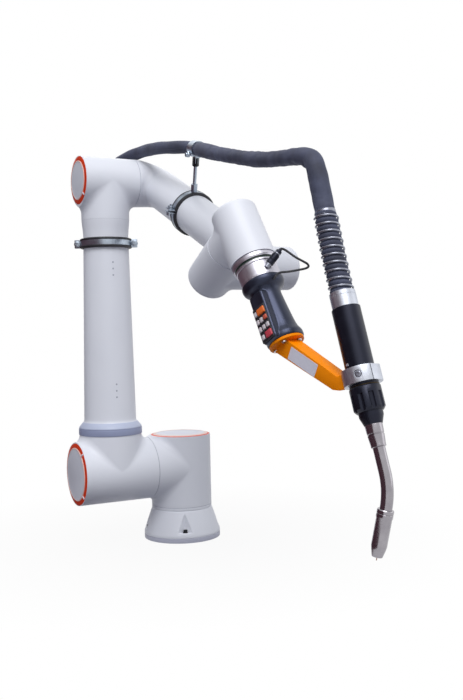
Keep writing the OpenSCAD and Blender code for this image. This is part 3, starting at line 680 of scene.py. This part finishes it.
# ---- Wrist
# Two more castings of the same form, each turned against the last on its own joint.
lean = math.radians(forearm_lean)
wrist_y, wrist_z = -forearm_length * math.sin(lean), elbow_height + forearm_length * math.cos(lean)
bend_place = moved(-0.164, wrist_y, wrist_z) @ rotated(60, "X")
wrist_housing(
    "wrist_bend", bend_place, (0, 0, -1), -0.0566 + cut_back, 0.048, (1, 0, 0), 0.0556 - cut_back, "wrist_bend"
)
seam_ring("wrist_seal_2", bend_place, 42.8, 56.8, "wrist_bend")
end_place = Matrix.Translation(bend_place @ Vector((0, 0, 0.114)))
end_place = end_place @ rotated(60, "X") @ rotated(5, "Z") @ rotated(90, "X")
wrist_housing("wrist_end", end_place, (0, 0, -1), -0.065, 0.048, (0, -1, 0), 0.057 - cut_back, "wrist_end")

# ---- Tool flange
# A turned aluminium output ring, a dark lip seal and the turned adapter that the handle is screwed to.
tool_place = end_place @ rotated(70, "Z")


def turned_metal(name, dark, light, roughness, groove_mm, depth):
    """A metal turned on a lathe: fine rings round it, groove_mm apart, which stretch its highlights."""
    material, tree, shader, here = new_material(name)
    wrap = add(tree, "ShaderNodeUVMap", uv_map="wrap")
    parts = add(tree, "ShaderNodeSeparateXYZ", {"Vector": wrap.outputs[0]})
    rings = add(
        tree, "ShaderNodeTexNoise", {"W": parts.outputs["Y"], "Scale": 1000 / groove_mm, "Detail": 3},
        noise_dimensions="1D",
    ).outputs["Fac"]
    tint(shader, speckle(tree, here, 70, 4), dark, light)
    emboss(shader, rings, depth, 0.0001)
    rub(shader, rings, roughness - 0.05, roughness + 0.08)
    shader.inputs["Metallic"].default_value = 1
    return material


def wrap_round(piece, place):
    """A UV map for a turned piece: turns round its axis, and metres along it."""
    back = place.inverted()
    layer = piece.data.uv_layers.get("wrap") or piece.data.uv_layers.new(name="wrap")
    for loop in piece.data.loops:
        p = back @ piece.data.vertices[loop.vertex_index].co
        layer.data[loop.index].uv = (math.atan2(p.y, p.x) / (2 * math.pi), p.z)
    return piece


def lathed(name, profile, place, material, body, nodes=(), smooth=25, steps=96):
    """A turned piece with a UV map, dressed."""
    dress(wrap_round(turned(name, profile, place, steps), place), material, body, nodes, smooth)


# Aluminium 6061 turned to a bright finish
aluminium = turned_metal("turned_aluminium", "#B6B4C0", "#D0CFD8", 0.4, 0.5, 0.25)
output_outline = [(20, 65.4), (40.5, 65.4), (41.5, 66.2), (41.5, 71.8), (40.8, 72.6), (40.2, 74.4), (20, 74.4)]
lathed("output_flange", output_outline, tool_place, aluminium, "tool", ["output_ring"])
# Nitrile seal, new and black, with a green cast from its grease
lip_rubber = grained("black_nitrile_lip", "#1E302B", "#42574F", (90, 3), 0.35)
seal_outline = [(20, 74.4), (38.5, 74.4), (37.2, 75.2), (37.2, 77.4), (38.5, 78.4), (20, 78.4)]
lip = turned("output_lip_seal", seal_outline, tool_place)
dress(lip, lip_rubber, "tool", ["output_seal"], 25)
adapter_outline = [
    (20, 78.4), (38.2, 78.4), (39, 79), (39, 81.6), (38.4, 82.4), (37, 82.8), (37, 107.5), (36.4, 108.5),
    (36.4, 109.4), (20, 109.4),
]
lathed("handle_adapter", adapter_outline, tool_place, aluminium, "tool", ["tool_adapter"])

# ---- Pipe clamps
# Two-part pipe clamps of zinc-plated band with a rubber lining, closed by a screw through each pair of ears.
# Bright zinc plate on pressed steel: a cool grey with small cloudy crystals and soft highlights
zinc, tree, shader, here = new_material("bright_zinc_plate")
crystal = add(tree, "ShaderNodeTexVoronoi", {"Vector": here, "Scale": 450})
cloud = speckle(tree, here, 120, 4)
tint(shader, maths(tree, "MULTIPLY", crystal.outputs["Distance"], cloud), "#AEB8C4", "#808C9C")
rub(shader, cloud, 0.24, 0.46)
emboss(shader, cloud, 0.15, 0.0003)
shader.inputs["Metallic"].default_value = 1
# EPDM rubber, extruded: dull black with a fine grain
rubber = grained("black_epdm_rubber", "#16161A", "#2A2B33", (900, 3), 0.6, (0.3, 0.0002))


def clamp_screws(name, place, reach, body):
    """A screw through each pair of a clamp's ears, reach from its axis, with a washer, a nut and a bit of thread."""
    made = []
    for side in (-1, 1):
        at = place @ moved(side * reach, 0, 0) @ rotated(90, "X")
        made.append(socket_screw(0.0056, 0.0048, at @ moved(0, 0, 0.0062)))
        for sides, radius, bottom, top in (
            (32, 0.0074, 0.0046, 0.0062), (24, 0.003, -0.015, 0.005), (32, 0.0074, -0.0062, -0.0046),
            (6, 0.0064, -0.011, -0.0062),
        ):
            made.append(hex_or_round(sides, radius, bottom, top, at))
    dress(join(name, made), zinc, body)


arm_band = moved(arm_side, 0, 0.731)
fore_band = forearm_place @ moved(0, 0, 0.23)
# The bands sit a little closer to their tubes than in the CAD
shrink = Matrix.Diagonal((0.965, 0.965, 1, 1))
for name, node, place, reach, lip_radius, body in (
    ("arm_pipe_clamp", "arm_clamp", arm_band @ rotated(-28, "Z"), 0.069, 0.0593, "upper_arm"),
    ("forearm_pipe_clamp", "forearm_clamp", fore_band @ rotated(-4, "Z"), 0.0582, 0.0483, "forearm"),
):
    band = cad_copy(name, node, 0.0008)
    snug = place @ shrink @ place.inverted()
    band.data.transform(snug)
    dress(band, zinc, body, [node])
    clamp_screws(name + "_screws", place, reach, body)
    lining = cad_copy(name + "_lining", node + "_liner", 0.001)
    lining.data.transform(snug)
    lips = [lining]
    # The lining's rounded lips show above and below each half of the band
    for half in (0, 180):
        for level in (-0.0083, 0.0083):
            arc = []
            for i in range(49):
                q = math.radians(half + 3.5 + 173 * i / 48)
                arc.append(place @ Vector((lip_radius * math.cos(q), lip_radius * math.sin(q), level)))
            lips.append(swept("lip", arc, [0.0032] * len(arc), 12))
    dress(join(name + "_lining", lips), rubber, body, [node + "_liner"])

# ---- Hose standoffs
# Threaded rods with coupling nuts. They hold the hose in zinc-plated bands, each closed by a small screw.
rear_place = arm_band @ rotated(-12, "Z") @ moved(0, 0.168, 0)
fore_place = fore_band @ rotated(8, "Z") @ rotated(3, "X") @ moved(0, 0.15, 0)
band_outline = [(16.2, -13), (18.1, -13), (18.1, 13), (16.2, 13)]
for name, node, place, band_lean, nut_level, body in (
    ("rear_hose_standoff", "rear_standoff", rear_place, 0, 0.106, "upper_arm"),
    ("hose_standoff_rod", "hose_standoff", fore_place, -12.8, 0.099, "forearm"),
):
    dress(cad_copy(name, node, 0.0006), zinc, body, [node])
    down = place @ rotated(90, "X")
    parts = [turned("band", band_outline, place @ rotated(band_lean, "X"))]
    # Two square lugs with the screw that closes the band, and the coupling nut at the rod's other end
    for side in (-1, 1):
        at = place @ moved(side * 0.0185, -0.0105, 0) @ rotated(90, "Y")
        parts.append(hex_or_round(4, 0.0075, -0.0028, 0.0028, at, 0.0008))
    parts.append(socket_screw(0.005, 0.0052, place @ moved(-0.0205, -0.0115, 0) @ rotated(-90, "Y")))
    parts.append(hex_or_round(6, 0.0066, nut_level - 0.004, nut_level + 0.004, down))
    dress(join(name + "_band_screw", parts), zinc, body)
    nut = hex_or_round(6, 0.0077, 0.019, 0.0385, down)
    nut.name = name + "_nut"
    dress(nut, black_steel, body)

# ---- Hose
# A welding hose in a woven nylon sleeve. The sleeve is slack, so it bunches where the hose bends, and it is
# drawn tight over the elbow. The plug behind the arm is turned brass.
# Woven nylon: 1.6 mm strands cross at 45 degrees, dark violet grey, painted lighter where they stand proud as a sheen
# and darker between them as shade, with a patchy tone and a faint sheen of its own
hose_weave, tree, shader, here = new_material("woven_nylon_sleeve")
wrap = add(tree, "ShaderNodeUVMap", uv_map="wrap")
parts = add(tree, "ShaderNodeSeparateXYZ", {"Vector": wrap.outputs[0]})
strands_round, strand_pitch = 30, 0.0032
around = maths(tree, "MULTIPLY", parts.outputs["X"], 2 * math.pi * strands_round)
along = maths(tree, "MULTIPLY", parts.outputs["Y"], 2 * math.pi / strand_pitch)
weave = maths(
    tree, "MULTIPLY", maths(tree, "SINE", maths(tree, "ADD", along, around)),
    maths(tree, "SINE", maths(tree, "SUBTRACT", along, around)),
)
lift = add(tree, "ShaderNodeMapRange", {"Value": weave, 1: -1, 2: 1, 3: 0.25, 4: 0.75})
# Painted sheen and shade: lighter on the strands' raised crossings, darker between them, times a patchy noise
proud_sheen_and_tone = maths(tree, "MULTIPLY", lift.outputs[0], speckle(tree, here, 24, 5))
tint(shader, proud_sheen_and_tone, "#14141F", "#747C9E")
emboss(shader, weave, 0.35, 0.0004)
shader.inputs["Roughness"].default_value = 0.72
shader.inputs["Sheen Weight"].default_value = 0.2
shader.inputs["Sheen Roughness"].default_value = 0.4
shader.inputs["Sheen Tint"].default_value = linear("#8C92B4")

torch_place = tool_place @ moved(0.109, 0, 0.358) @ rotated(-11.5, "Y")
# Points in mm that the hose runs through, from the plug behind the arm to the spring guard
hose_route = [
    Vector(p) / 1000 for p in (
        (-151.07, 164.33, 690), (-151.07, 164.33, 742), (-150.5, 165, 800), (-148, 163, 860), (-140, 147, 909),
        (-120, 111, 938), (-105, 60, 952), (-97, -1, 955), (-95, -61, 952), (-94, -122, 946), (-88, -182, 937),
        (-80, -235, 928.5), (-75, -275, 918.5), (-83, -332, 904), (-92, -396, 887), (-100, -463, 870),
        (-103, -536, 852), (-104, -610, 836), (-103, -680, 827), (-102, -735, 821), (-99, -769, 810),
        (-100, -786, 787),
    )
]


# Where the guard begins on the torch's axis, its length, and how far its end leans over
guard_root, guard_length, guard_lean = -0.145, 0.15, Vector((0.0035, -0.0019, 0))


def guard_point(point):
    """A point in the torch's frame, carried along as the spring guard flexes a little to the right."""
    t = min(max((guard_root - point[2]) / guard_length, 0), 1.15)
    return torch_place @ Vector(point) + guard_lean * t * t


hose_route += [guard_point((0, 0, guard_root - d)) for d in (0.172, 0.152, 0.12, 0.08, 0.04, 0.0002)]
# Radius of the sleeved hose at each of these points
hose_radii = [0.0143] * 13 + [
    0.0162, 0.015, 0.0143, 0.0142, 0.0146, 0.0146, 0.0152, 0.0172, 0.0175, 0.0175, 0.0168, 0.016, 0.016, 0.016,
    0.016,
]


def eased(points, steps):
    """A smooth row of points through the given ones."""
    out = []
    for i in range(len(points) - 1):
        a, b = points[max(i - 1, 0)], points[i]
        c, d = points[i + 1], points[min(i + 2, len(points) - 1)]
        for k in range(steps):
            t = k / steps
            out.append(
                0.5 * (2 * b + (c - a) * t + (2 * a - 5 * b + 4 * c - d) * t * t + (3 * b - a - 3 * c + d) * t**3)
            )
    return out + [points[-1]]


# The guard's first coil on the torch's axis and its pitch
coil_from, coil_pitch = -0.1503, 0.014
# Where on the route the coils end, counted in points, and how deep the sleeve's pleats inside them are
in_guard, pleat = 22.8, 0.0019
# The hose's steps from point to point, and its sides
fine, hose_sides = 14, 72
torch_back = torch_place.inverted()
hose_line = eased(hose_route, fine)
hose_size = eased(hose_radii, fine)


def hose_part(name, first, last):
    """The hose between two of its route's points, with its sleeve's folds."""
    line, size = hose_line[first * fine : last * fine + 1], hose_size[first * fine : last * fine + 1]
    tube = swept(name, line, size, hose_sides)
    for vertex in tube.data.vertices:
        i = first * fine + min(vertex.index // hose_sides, len(line) - 1)
        here = hose_line[i]
        before, after = hose_line[max(i - 3, 0)], hose_line[min(i + 3, len(hose_line) - 1)]
        way = vertex.co - here
        if way.length < 1e-5:
            continue
        way.normalize()
        if i > in_guard * fine:
            # The convoluted sleeve inside the spring bulges out between the wires
            spot = torch_back @ vertex.co
            phase = (coil_from - spot.z) / coil_pitch - math.atan2(spot.y, spot.x) / (2 * math.pi)
            vertex.co += way * pleat * (1 - math.cos(2 * math.pi * phase)) * min(i / fine - in_guard, 1)
            continue
        # Slack folds on the inside of each bend, none over the elbow, and a slight unevenness everywhere
        inner = max(0, way.dot(before + after - 2 * here) / 0.0011)
        slack = min(1, max(0, (i / fine - 12.5) / 1.5)) * (0.35 + min(inner, 1))
        step = 1000 * here.y * 0.085 - 1000 * here.z * 0.075
        fold = noise.noise(Vector((step, way.x * 1.3, way.z * 1.3)))
        broad = noise.noise(Vector((here.y * 22, here.z * 22, way.x * 1.5)))
        vertex.co += way * (0.0025 * slack * fold + 0.0008 * broad)
    return tube


for name, first, last, body_a, body_b, start, bent, nodes in (
    # name, first and last point of the route, the two bodies it bends between, where it starts to bend and the
    # point where it has bent, and the node it stands for
    ("hose_sleeve_elbow", 0, 12, "upper_arm", "forearm", Vector((-0.151, 0.164, 0.745)), 12, ["hose_over_elbow"]),
    ("hose_sleeve_1", 12, 16, "forearm", "wrist_bend", hose_route[12], 16, ["hose_to_torch"]),
    ("hose_sleeve_2", 16, 19, "wrist_bend", "wrist_end", hose_route[16], 19, []),
    ("hose_sleeve_3", 19, 27, "wrist_end", "tool", hose_route[19], 23, []),
):
    tube = hose_part(name, first, last)
    coat(tube, hose_weave, 60)
    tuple(start)
    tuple(hose_route[bent])
    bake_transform(tube)
    if nodes:
        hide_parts(*nodes)
# Brass, turned, dulled by handling
brass = turned_metal("turned_brass", "#B48C46", "#C9A45C", 0.3, 0.6, 0.25)
rear_plug = cad_copy("hose_plug", "hose_connector", 0.0008)
wrap_round(rear_plug, moved(-0.151, 0.1643, 0))
dress(rear_plug, brass, "upper_arm", ["hose_connector"])

# ---- Teach handle
# A glossy nylon moulding with a flange, a waist and a sloped flat for its keypad. The rubber keys stand in a
# dark plate: one large orange, one small red, one large red and seven pale ones.
# Black nylon, moulded in a fine spark finish: long soft highlights with a blue-grey cast
nylon = grained(
    "black_moulded_nylon", "#0E1018", "#20242F", (40, 4), (0.3, 0.46), (0.12, 0.0002), (1500, 2),
    Specular_IOR_Level=0.7, Specular_Tint=linear("#C8D2FF"),
)
handle_outline = [
    (0, 109.4), (37, 109.4), (38.4, 110.2), (39, 111.8), (39, 116), (38.4, 119.5), (36.6, 122.8), (33.6, 125.6),
    (29.6, 128.2), (26.8, 131.6), (25.4, 136), (25, 141), (25.3, 152), (26.4, 174), (27.4, 192), (28.4, 204),
    (29.8, 211), (31.8, 216), (33.4, 219.5), (33.9, 222.5), (33.8, 227), (33, 230.1), (0, 230.1),
]
grip = turned("teach_handle_shell", handle_outline, tool_place, 128)
pad_lean = math.degrees(math.atan(8 / 101))
pad_place = tool_place @ rotated(99, "Z") @ moved(0.039, 0, 0.2364) @ rotated(pad_lean, "Y")
pad = block("pad", (0.03, 0.036, 0.096), pad_place @ moved(-0.015, 0, -0.056), 0.005, 4)
carve(grip, pad, "UNION")
modify(grip, "REMESH", mode="VOXEL", voxel_size=0.0011, use_smooth_shade=True)
modify(grip, "CORRECTIVE_SMOOTH", factor=0.5, iterations=14, smooth_type="LENGTH_WEIGHTED", use_only_smooth=True)
dress(grip, nylon, "tool", ["teach_handle"], 50)
keypad_place = pad_place @ moved(0, 0, -0.086) @ rotated(90, "Z") @ rotated(90, "X")
plate = block("keypad_plate", (0.031, 0.066, 0.003), keypad_place @ moved(0, 0.0425, 0.0004), 0.0012, 3)
dress(plate, rubber, "tool", ["keypad"])


def key_rubber(name, dark, light):
    """Silicone rubber key, moulded in its colour: matt, with a soft skin-like highlight."""
    return grained(name, dark, light, (300, 3), 0.45, Subsurface_Weight=0.1, Subsurface_Radius=(0.002, 0.001, 0.001))


pale_rubber = key_rubber("pale_silicone_key", "#B9B0B8", "#D8D2D6")
for name, across, along, wide, long, material in (
    # name, middle across and along the plate in mm, width, length, material
    ("orange_key", -5.6, 21, 19, 12, key_rubber("orange_silicone_key", "#D9601A", "#F07A28")),
    ("small_red_key", -11.2, 36, 8, 8, key_rubber("coral_silicone_key", "#B84A38", "#D2604A")),
    ("red_key", -7.4, 66.5, 16, 12, key_rubber("red_silicone_key", "#B23244", "#D64858")),
):
    at = keypad_place @ moved(across / 1000, along / 1000, 0.003)
    key = block(name, (wide / 1000, long / 1000, 0.004), at, 0.0016, 4)
    dress(key, material, "tool")
pale = []
for across, along in ((9.2, 21), (-0.6, 36.5), (9.2, 36.5), (-11.4, 51), (-1.2, 51), (9.2, 51), (7.8, 66.5)):
    at = keypad_place @ moved(across / 1000, along / 1000, 0.0029)
    pale.append(block("pale_key", (0.0068, 0.009, 0.0036), at, 0.0014, 4))
dress(join("pale_keys", pale), pale_rubber, "tool")

# ---- Bracket
# Welded from steel box and plate, powder-coated orange. Four screws hold it to the handle, and a blank vinyl
# label is stuck on its near side.
orange_coat = powder_coat("orange_powder_coat", "#FC8A00", "#FF9600", 0.46, Specular_IOR_Level=0.1)
box_place = tool_place @ moved(0.0044, 0, 0.2454) @ rotated(32.2, "Y") @ rotated(11.8, "Z")
box_side = [
    (-17, -44), (-12.25, 119.5), (-5.75, 133), (6.75, 149), (13.75, 156), (36.25, 146), (24.65, 133), (12.25, 118),
    (17, -44),
]
# Its side is drawn, extruded to half_width on both sides, and turned into place
half_width = 0.014
corners = [(x / 1000, half_width, z / 1000) for x, z in box_side]
bracket = mesh_piece("torch_bracket_frame", corners, [], [list(range(len(corners)))])
open_edit(bracket)
bpy.ops.mesh.extrude_region_move(TRANSFORM_OT_translate={"value": (0, -2 * half_width, 0)})
close_edit()
settle(bracket, box_place)
# The handle's room above the plate, and the torch clamp's, are cut out of the box. Then the plate is added.
plate_under, plate_top, plate_radius = 0.2301, 0.2351, 0.0315
for radius, bottom, top, place in (
    (0.08, 0, 0.08, tool_place @ moved(0, 0, plate_under - 0.08)),
    (0.032, -0.03, 0.03, torch_place),
):
    carve(bracket, hex_or_round(96, radius, bottom, top, place))
carve(bracket, hex_or_round(96, plate_radius, plate_under, plate_top, tool_place, 0.0006), "UNION")
round_edges(bracket, 0.0012, 3, 28)
dress(bracket, orange_coat, "tool", ["torch_bracket"])
# Stainless pan-head screws, pressed and polished: bright
bright_screw = grained("stainless_screw", "#D9DADF", "#B9BBC2", (600, 2), 0.24, Metallic=1)
plate_screws = []
for angle in (66, 158, 246, 338):
    at = tool_place @ rotated(angle, "Z") @ moved(0.0225, 0, plate_top)
    plate_screws.append(socket_screw(0.0044, 0.0034, at))
dress(join("bracket_screws", plate_screws), bright_screw, "tool")
# White vinyl film with a clear lamination: smooth, with a faint unevenness from the glue under it
vinyl = grained("white_vinyl_label", "#DEDDEB", "#E9E8F3", (180, 3), 0.28, (0.08, 0.0003))
label = block("blank_label", (0.0235, 0.0003, 0.065), box_place @ moved(-0.0012, 0.0141, 0.043), 0.00012, 1)
dress(label, vinyl, "tool")

# ---- Torch
# An aluminium clamp in two halves holds the torch's black tube. Above it are a brushed sleeve and a spring
# that guards the hose; below it a fluted nut, a stepped steel swan neck and the gas nozzle with its tip.
# Drawn spring steel with a light zinc plate
spring_steel = grained("drawn_spring_steel", "#A2A5B2", "#787B86", (260, 3), 0.34, Metallic=1)
# Aluminium, brushed round its axis
brushed = turned_metal("brushed_aluminium", "#AFB3BF", "#CBCFD8", 0.42, 0.35, 0.4)
clamp = cad_copy("torch_clamp_halves", "torch_clamp", 0.0009)
wrap_round(clamp, torch_place)
dress(clamp, brushed, "tool", ["torch_clamp"])


def torch_screw(name, angle, reach, level, radius, head, material):
    """A screw that points at the torch's axis: its angle round it, its head's reach from it and level on it."""
    at = torch_place @ rotated(angle, "Z") @ moved(reach, 0, level) @ rotated(90, "Y")
    screw = socket_screw(radius, head, at)
    screw.name = name
    dress(screw, material, "tool")


torch_screw("clamp_screw", 68, 0.027, 0, 0.0052, 0.0036, spring_steel)
# The torch's tube and nut are a drier black phenolic moulding
phenolic = grained(
    "black_phenolic_moulding", "#090A11", "#141722", (50, 4), (0.3, 0.4), Specular_IOR_Level=0.42,
    Specular_Tint=linear("#D6DAFA"),
)
tube_outline = [(10, -117), (23.2, -117), (24, -116.2), (24, 17.2), (23.2, 18), (10, 18)]
tube = turned("torch_tube_shell", tube_outline, torch_place)
dress(tube, phenolic, "tool", ["torch_tube"], 30)
torch_screw("torch_tube_screw", 108, 0.0232, -0.0205, 0.0032, 0.0022, bright_screw)
sleeve_outline = [
    (10, -145), (20.6, -145), (21.8, -144.2), (22, -137.8), (21.6, -137.4), (21.6, -136.8), (22, -136.4), (22, -117),
    (10, -117),
]
lathed("torch_sleeve_ring", sleeve_outline, torch_place, brushed, "tool", ["torch_sleeve"])
coil_radius, coil_steps, coil_turns, wire_radius = 0.0197, 48, 9.4, 0.0018
coil_line = []
for i in range(-12, int(coil_turns * coil_steps) + 1):
    q = 2 * math.pi * i / coil_steps
    level = coil_from - coil_pitch * i / coil_steps
    coil_line.append(guard_point((coil_radius * math.cos(q), coil_radius * math.sin(q), level)))
coil = swept("guard_spring", coil_line, [wire_radius] * len(coil_line), 12)
# The ferrule at the spring's end, which stands straight though the spring has bent
ferrule_outline = [(16, -291.5), (17.6, -291.5), (18.2, -290.9), (18.2, -283.1), (17.6, -282.5), (16, -282.5)]
ferrule_end = (0, 0, -0.2915)
aside = Matrix.Translation(guard_point(ferrule_end) - torch_place @ Vector(ferrule_end))
ferrule = turned("guard_ferrule", ferrule_outline, aside @ torch_place)
guard = join("spring_guard_coil", [coil, ferrule])
dress(guard, spring_steel, "tool", ["spring_guard"])
nut = cad_copy("torch_fluted_nut", "torch_nut", 0.0014)
dress(nut, phenolic, "tool", ["torch_nut"])
# Bronze, gone brown
bronze = turned_metal("browned_bronze", "#332B22", "#4A4030", 0.45, 0.6, 0.2)
nut_ring_outline = [(20, 15.8), (24.3, 15.8), (24.7, 16.3), (24.7, 17.8), (20, 18)]
lathed("nut_brass_ring", nut_ring_outline, torch_place, bronze, "tool")
# Nickel-plated steel and copper, polished bright: dark and light bands from the room, slightly warm
polished = turned_metal("polished_nickel_plate", "#8C888F", "#ABA8AD", 0.17, 1.4, 0.12)
neck_outline = [
    (79, 14.4), (80, 14.7), (94.2, 13.9), (95, 13.1), (96, 13.1), (96.8, 13.8), (113.5, 12.2), (114.5, 12.5),
    (116, 12.2), (117, 10.2),
]
neck_line = [Vector((0, 0, z / 1000)) for z, _ in neck_outline]
neck_radii = [r / 1000 for _, r in neck_outline]
neck_radius, straight_from, straight_to, neck_bend, neck_degrees = 0.01, 0.117, 0.156, 0.12, 28


def on_neck(degrees):
    """The middle of the neck's bend after so many degrees, in the torch's frame."""
    q = math.radians(degrees)
    return Vector((-neck_bend * (1 - math.cos(q)), 0, straight_to + neck_bend * math.sin(q)))


for i in range(1, 6):
    neck_line.append(Vector((0, 0, straight_from + (straight_to - straight_from) * i / 5)))
neck_line += [on_neck(i) for i in range(1, neck_degrees + 1)]
neck_radii += [neck_radius] * (len(neck_line) - len(neck_radii))
neck = swept("swan_neck_tube", [torch_place @ p for p in neck_line], neck_radii, 64)
neck_end = torch_place @ Matrix.Translation(on_neck(neck_degrees)) @ rotated(-neck_degrees, "Y")
dress(neck, polished, "tool", ["swan_neck"], 30)
nozzle_outline = [
    (4.1, 0), (12.7, 0), (13.5, 1.2), (13.5, 6), (13.1, 6.4), (13.1, 7), (13.5, 7.4), (13.5, 13), (12.7, 14.5),
    (12.7, 58), (11.7, 64), (8.7, 75.6), (8.3, 76), (7.5, 76), (10.7, 62), (10.7, 8), (4.1, 8),
]
lathed("gas_nozzle_shell", nozzle_outline, neck_end, polished, "tool", ["gas_nozzle"], 30)
# Copper, turned, browned by heat
copper = turned_metal("heat_browned_copper", "#7E4A36", "#A86A48", 0.35, 0.5, 0.2)
tip_outline = [(0, -1), (4, -1), (4, 62), (2.2, 69.5), (0.7, 70), (0.7, 82), (0, 82.2)]
lathed("contact_tip", tip_outline, neck_end, copper, "tool", (), 30, 32)

# ---- Signal plug
# A small knurled round plug on the adapter. Its short black lead loops back into the handle's flange.
plug_way = Vector((0.73, -0.454, -0.51)).to_track_quat("Z", "Y").to_matrix().to_4x4()
plug_place = tool_place @ moved(0.0415, 0.0123, 0.093) @ plug_way
plug_outline = [
    (0, -4), (6.6, -4), (7.2, -3.2), (7.2, 3), (6.6, 3.6), (6, 4), (6, 16.5), (5.6, 17.2), (5, 17.6), (5, 19.6),
    (5.6, 20), (5.6, 24), (5, 24.8), (3.4, 25.4), (3.2, 28), (0, 28.4),
]
plug_core = turned("signal_plug_body", plug_outline, plug_place, 48)
dress(plug_core, phenolic, "tool", ["signal_plug"], 30)
# It stands on a small turned socket
socket_outline = [(0, -13), (4, -13), (4.5, -12.4), (4.5, -3.8), (0, -3.8)]
lathed("signal_socket", socket_outline, plug_place, spring_steel, "tool", (), 30, 48)
ribs = []
for k in range(16):
    at = plug_place @ rotated(22.5 * k, "Z") @ moved(0.0061, 0, 0.01)
    ribs.append(block("rib", (0.0014, 0.0013, 0.0112), at))
dress(join("signal_plug_knurl", ribs), phenolic, "tool")
lock_outline = [(4.6, 17.6), (5.5, 17.8), (5.5, 19.5), (4.6, 19.7)]
lathed("signal_plug_lock_ring", lock_outline, plug_place, spring_steel, "tool", (), 35, 48)
lead_route = [plug_place @ Vector((0, 0, z)) for z in (0.0265, 0.03)] + [
    tool_place @ (Vector(p) / 1000) for p in (
        (66.5, -7.5, 82), (72.6, -18, 98.2), (80, -27, 112.2), (82.2, -31, 117.4), (81, -33, 121.6),
        (76, -30.5, 122.6), (68.1, -24, 121.2), (57.5, -8, 120.6), (46, 2.5, 116.8), (40.6, 6.5, 117.2),
        (38, 11.5, 121.5), (33, 13, 125),
    )
]
lead_line = eased(lead_route, 10)
lead = swept("signal_lead_cable", lead_line, [0.002] * len(lead_line), 16)
dress(lead, rubber, "tool", ["signal_lead"], 60)
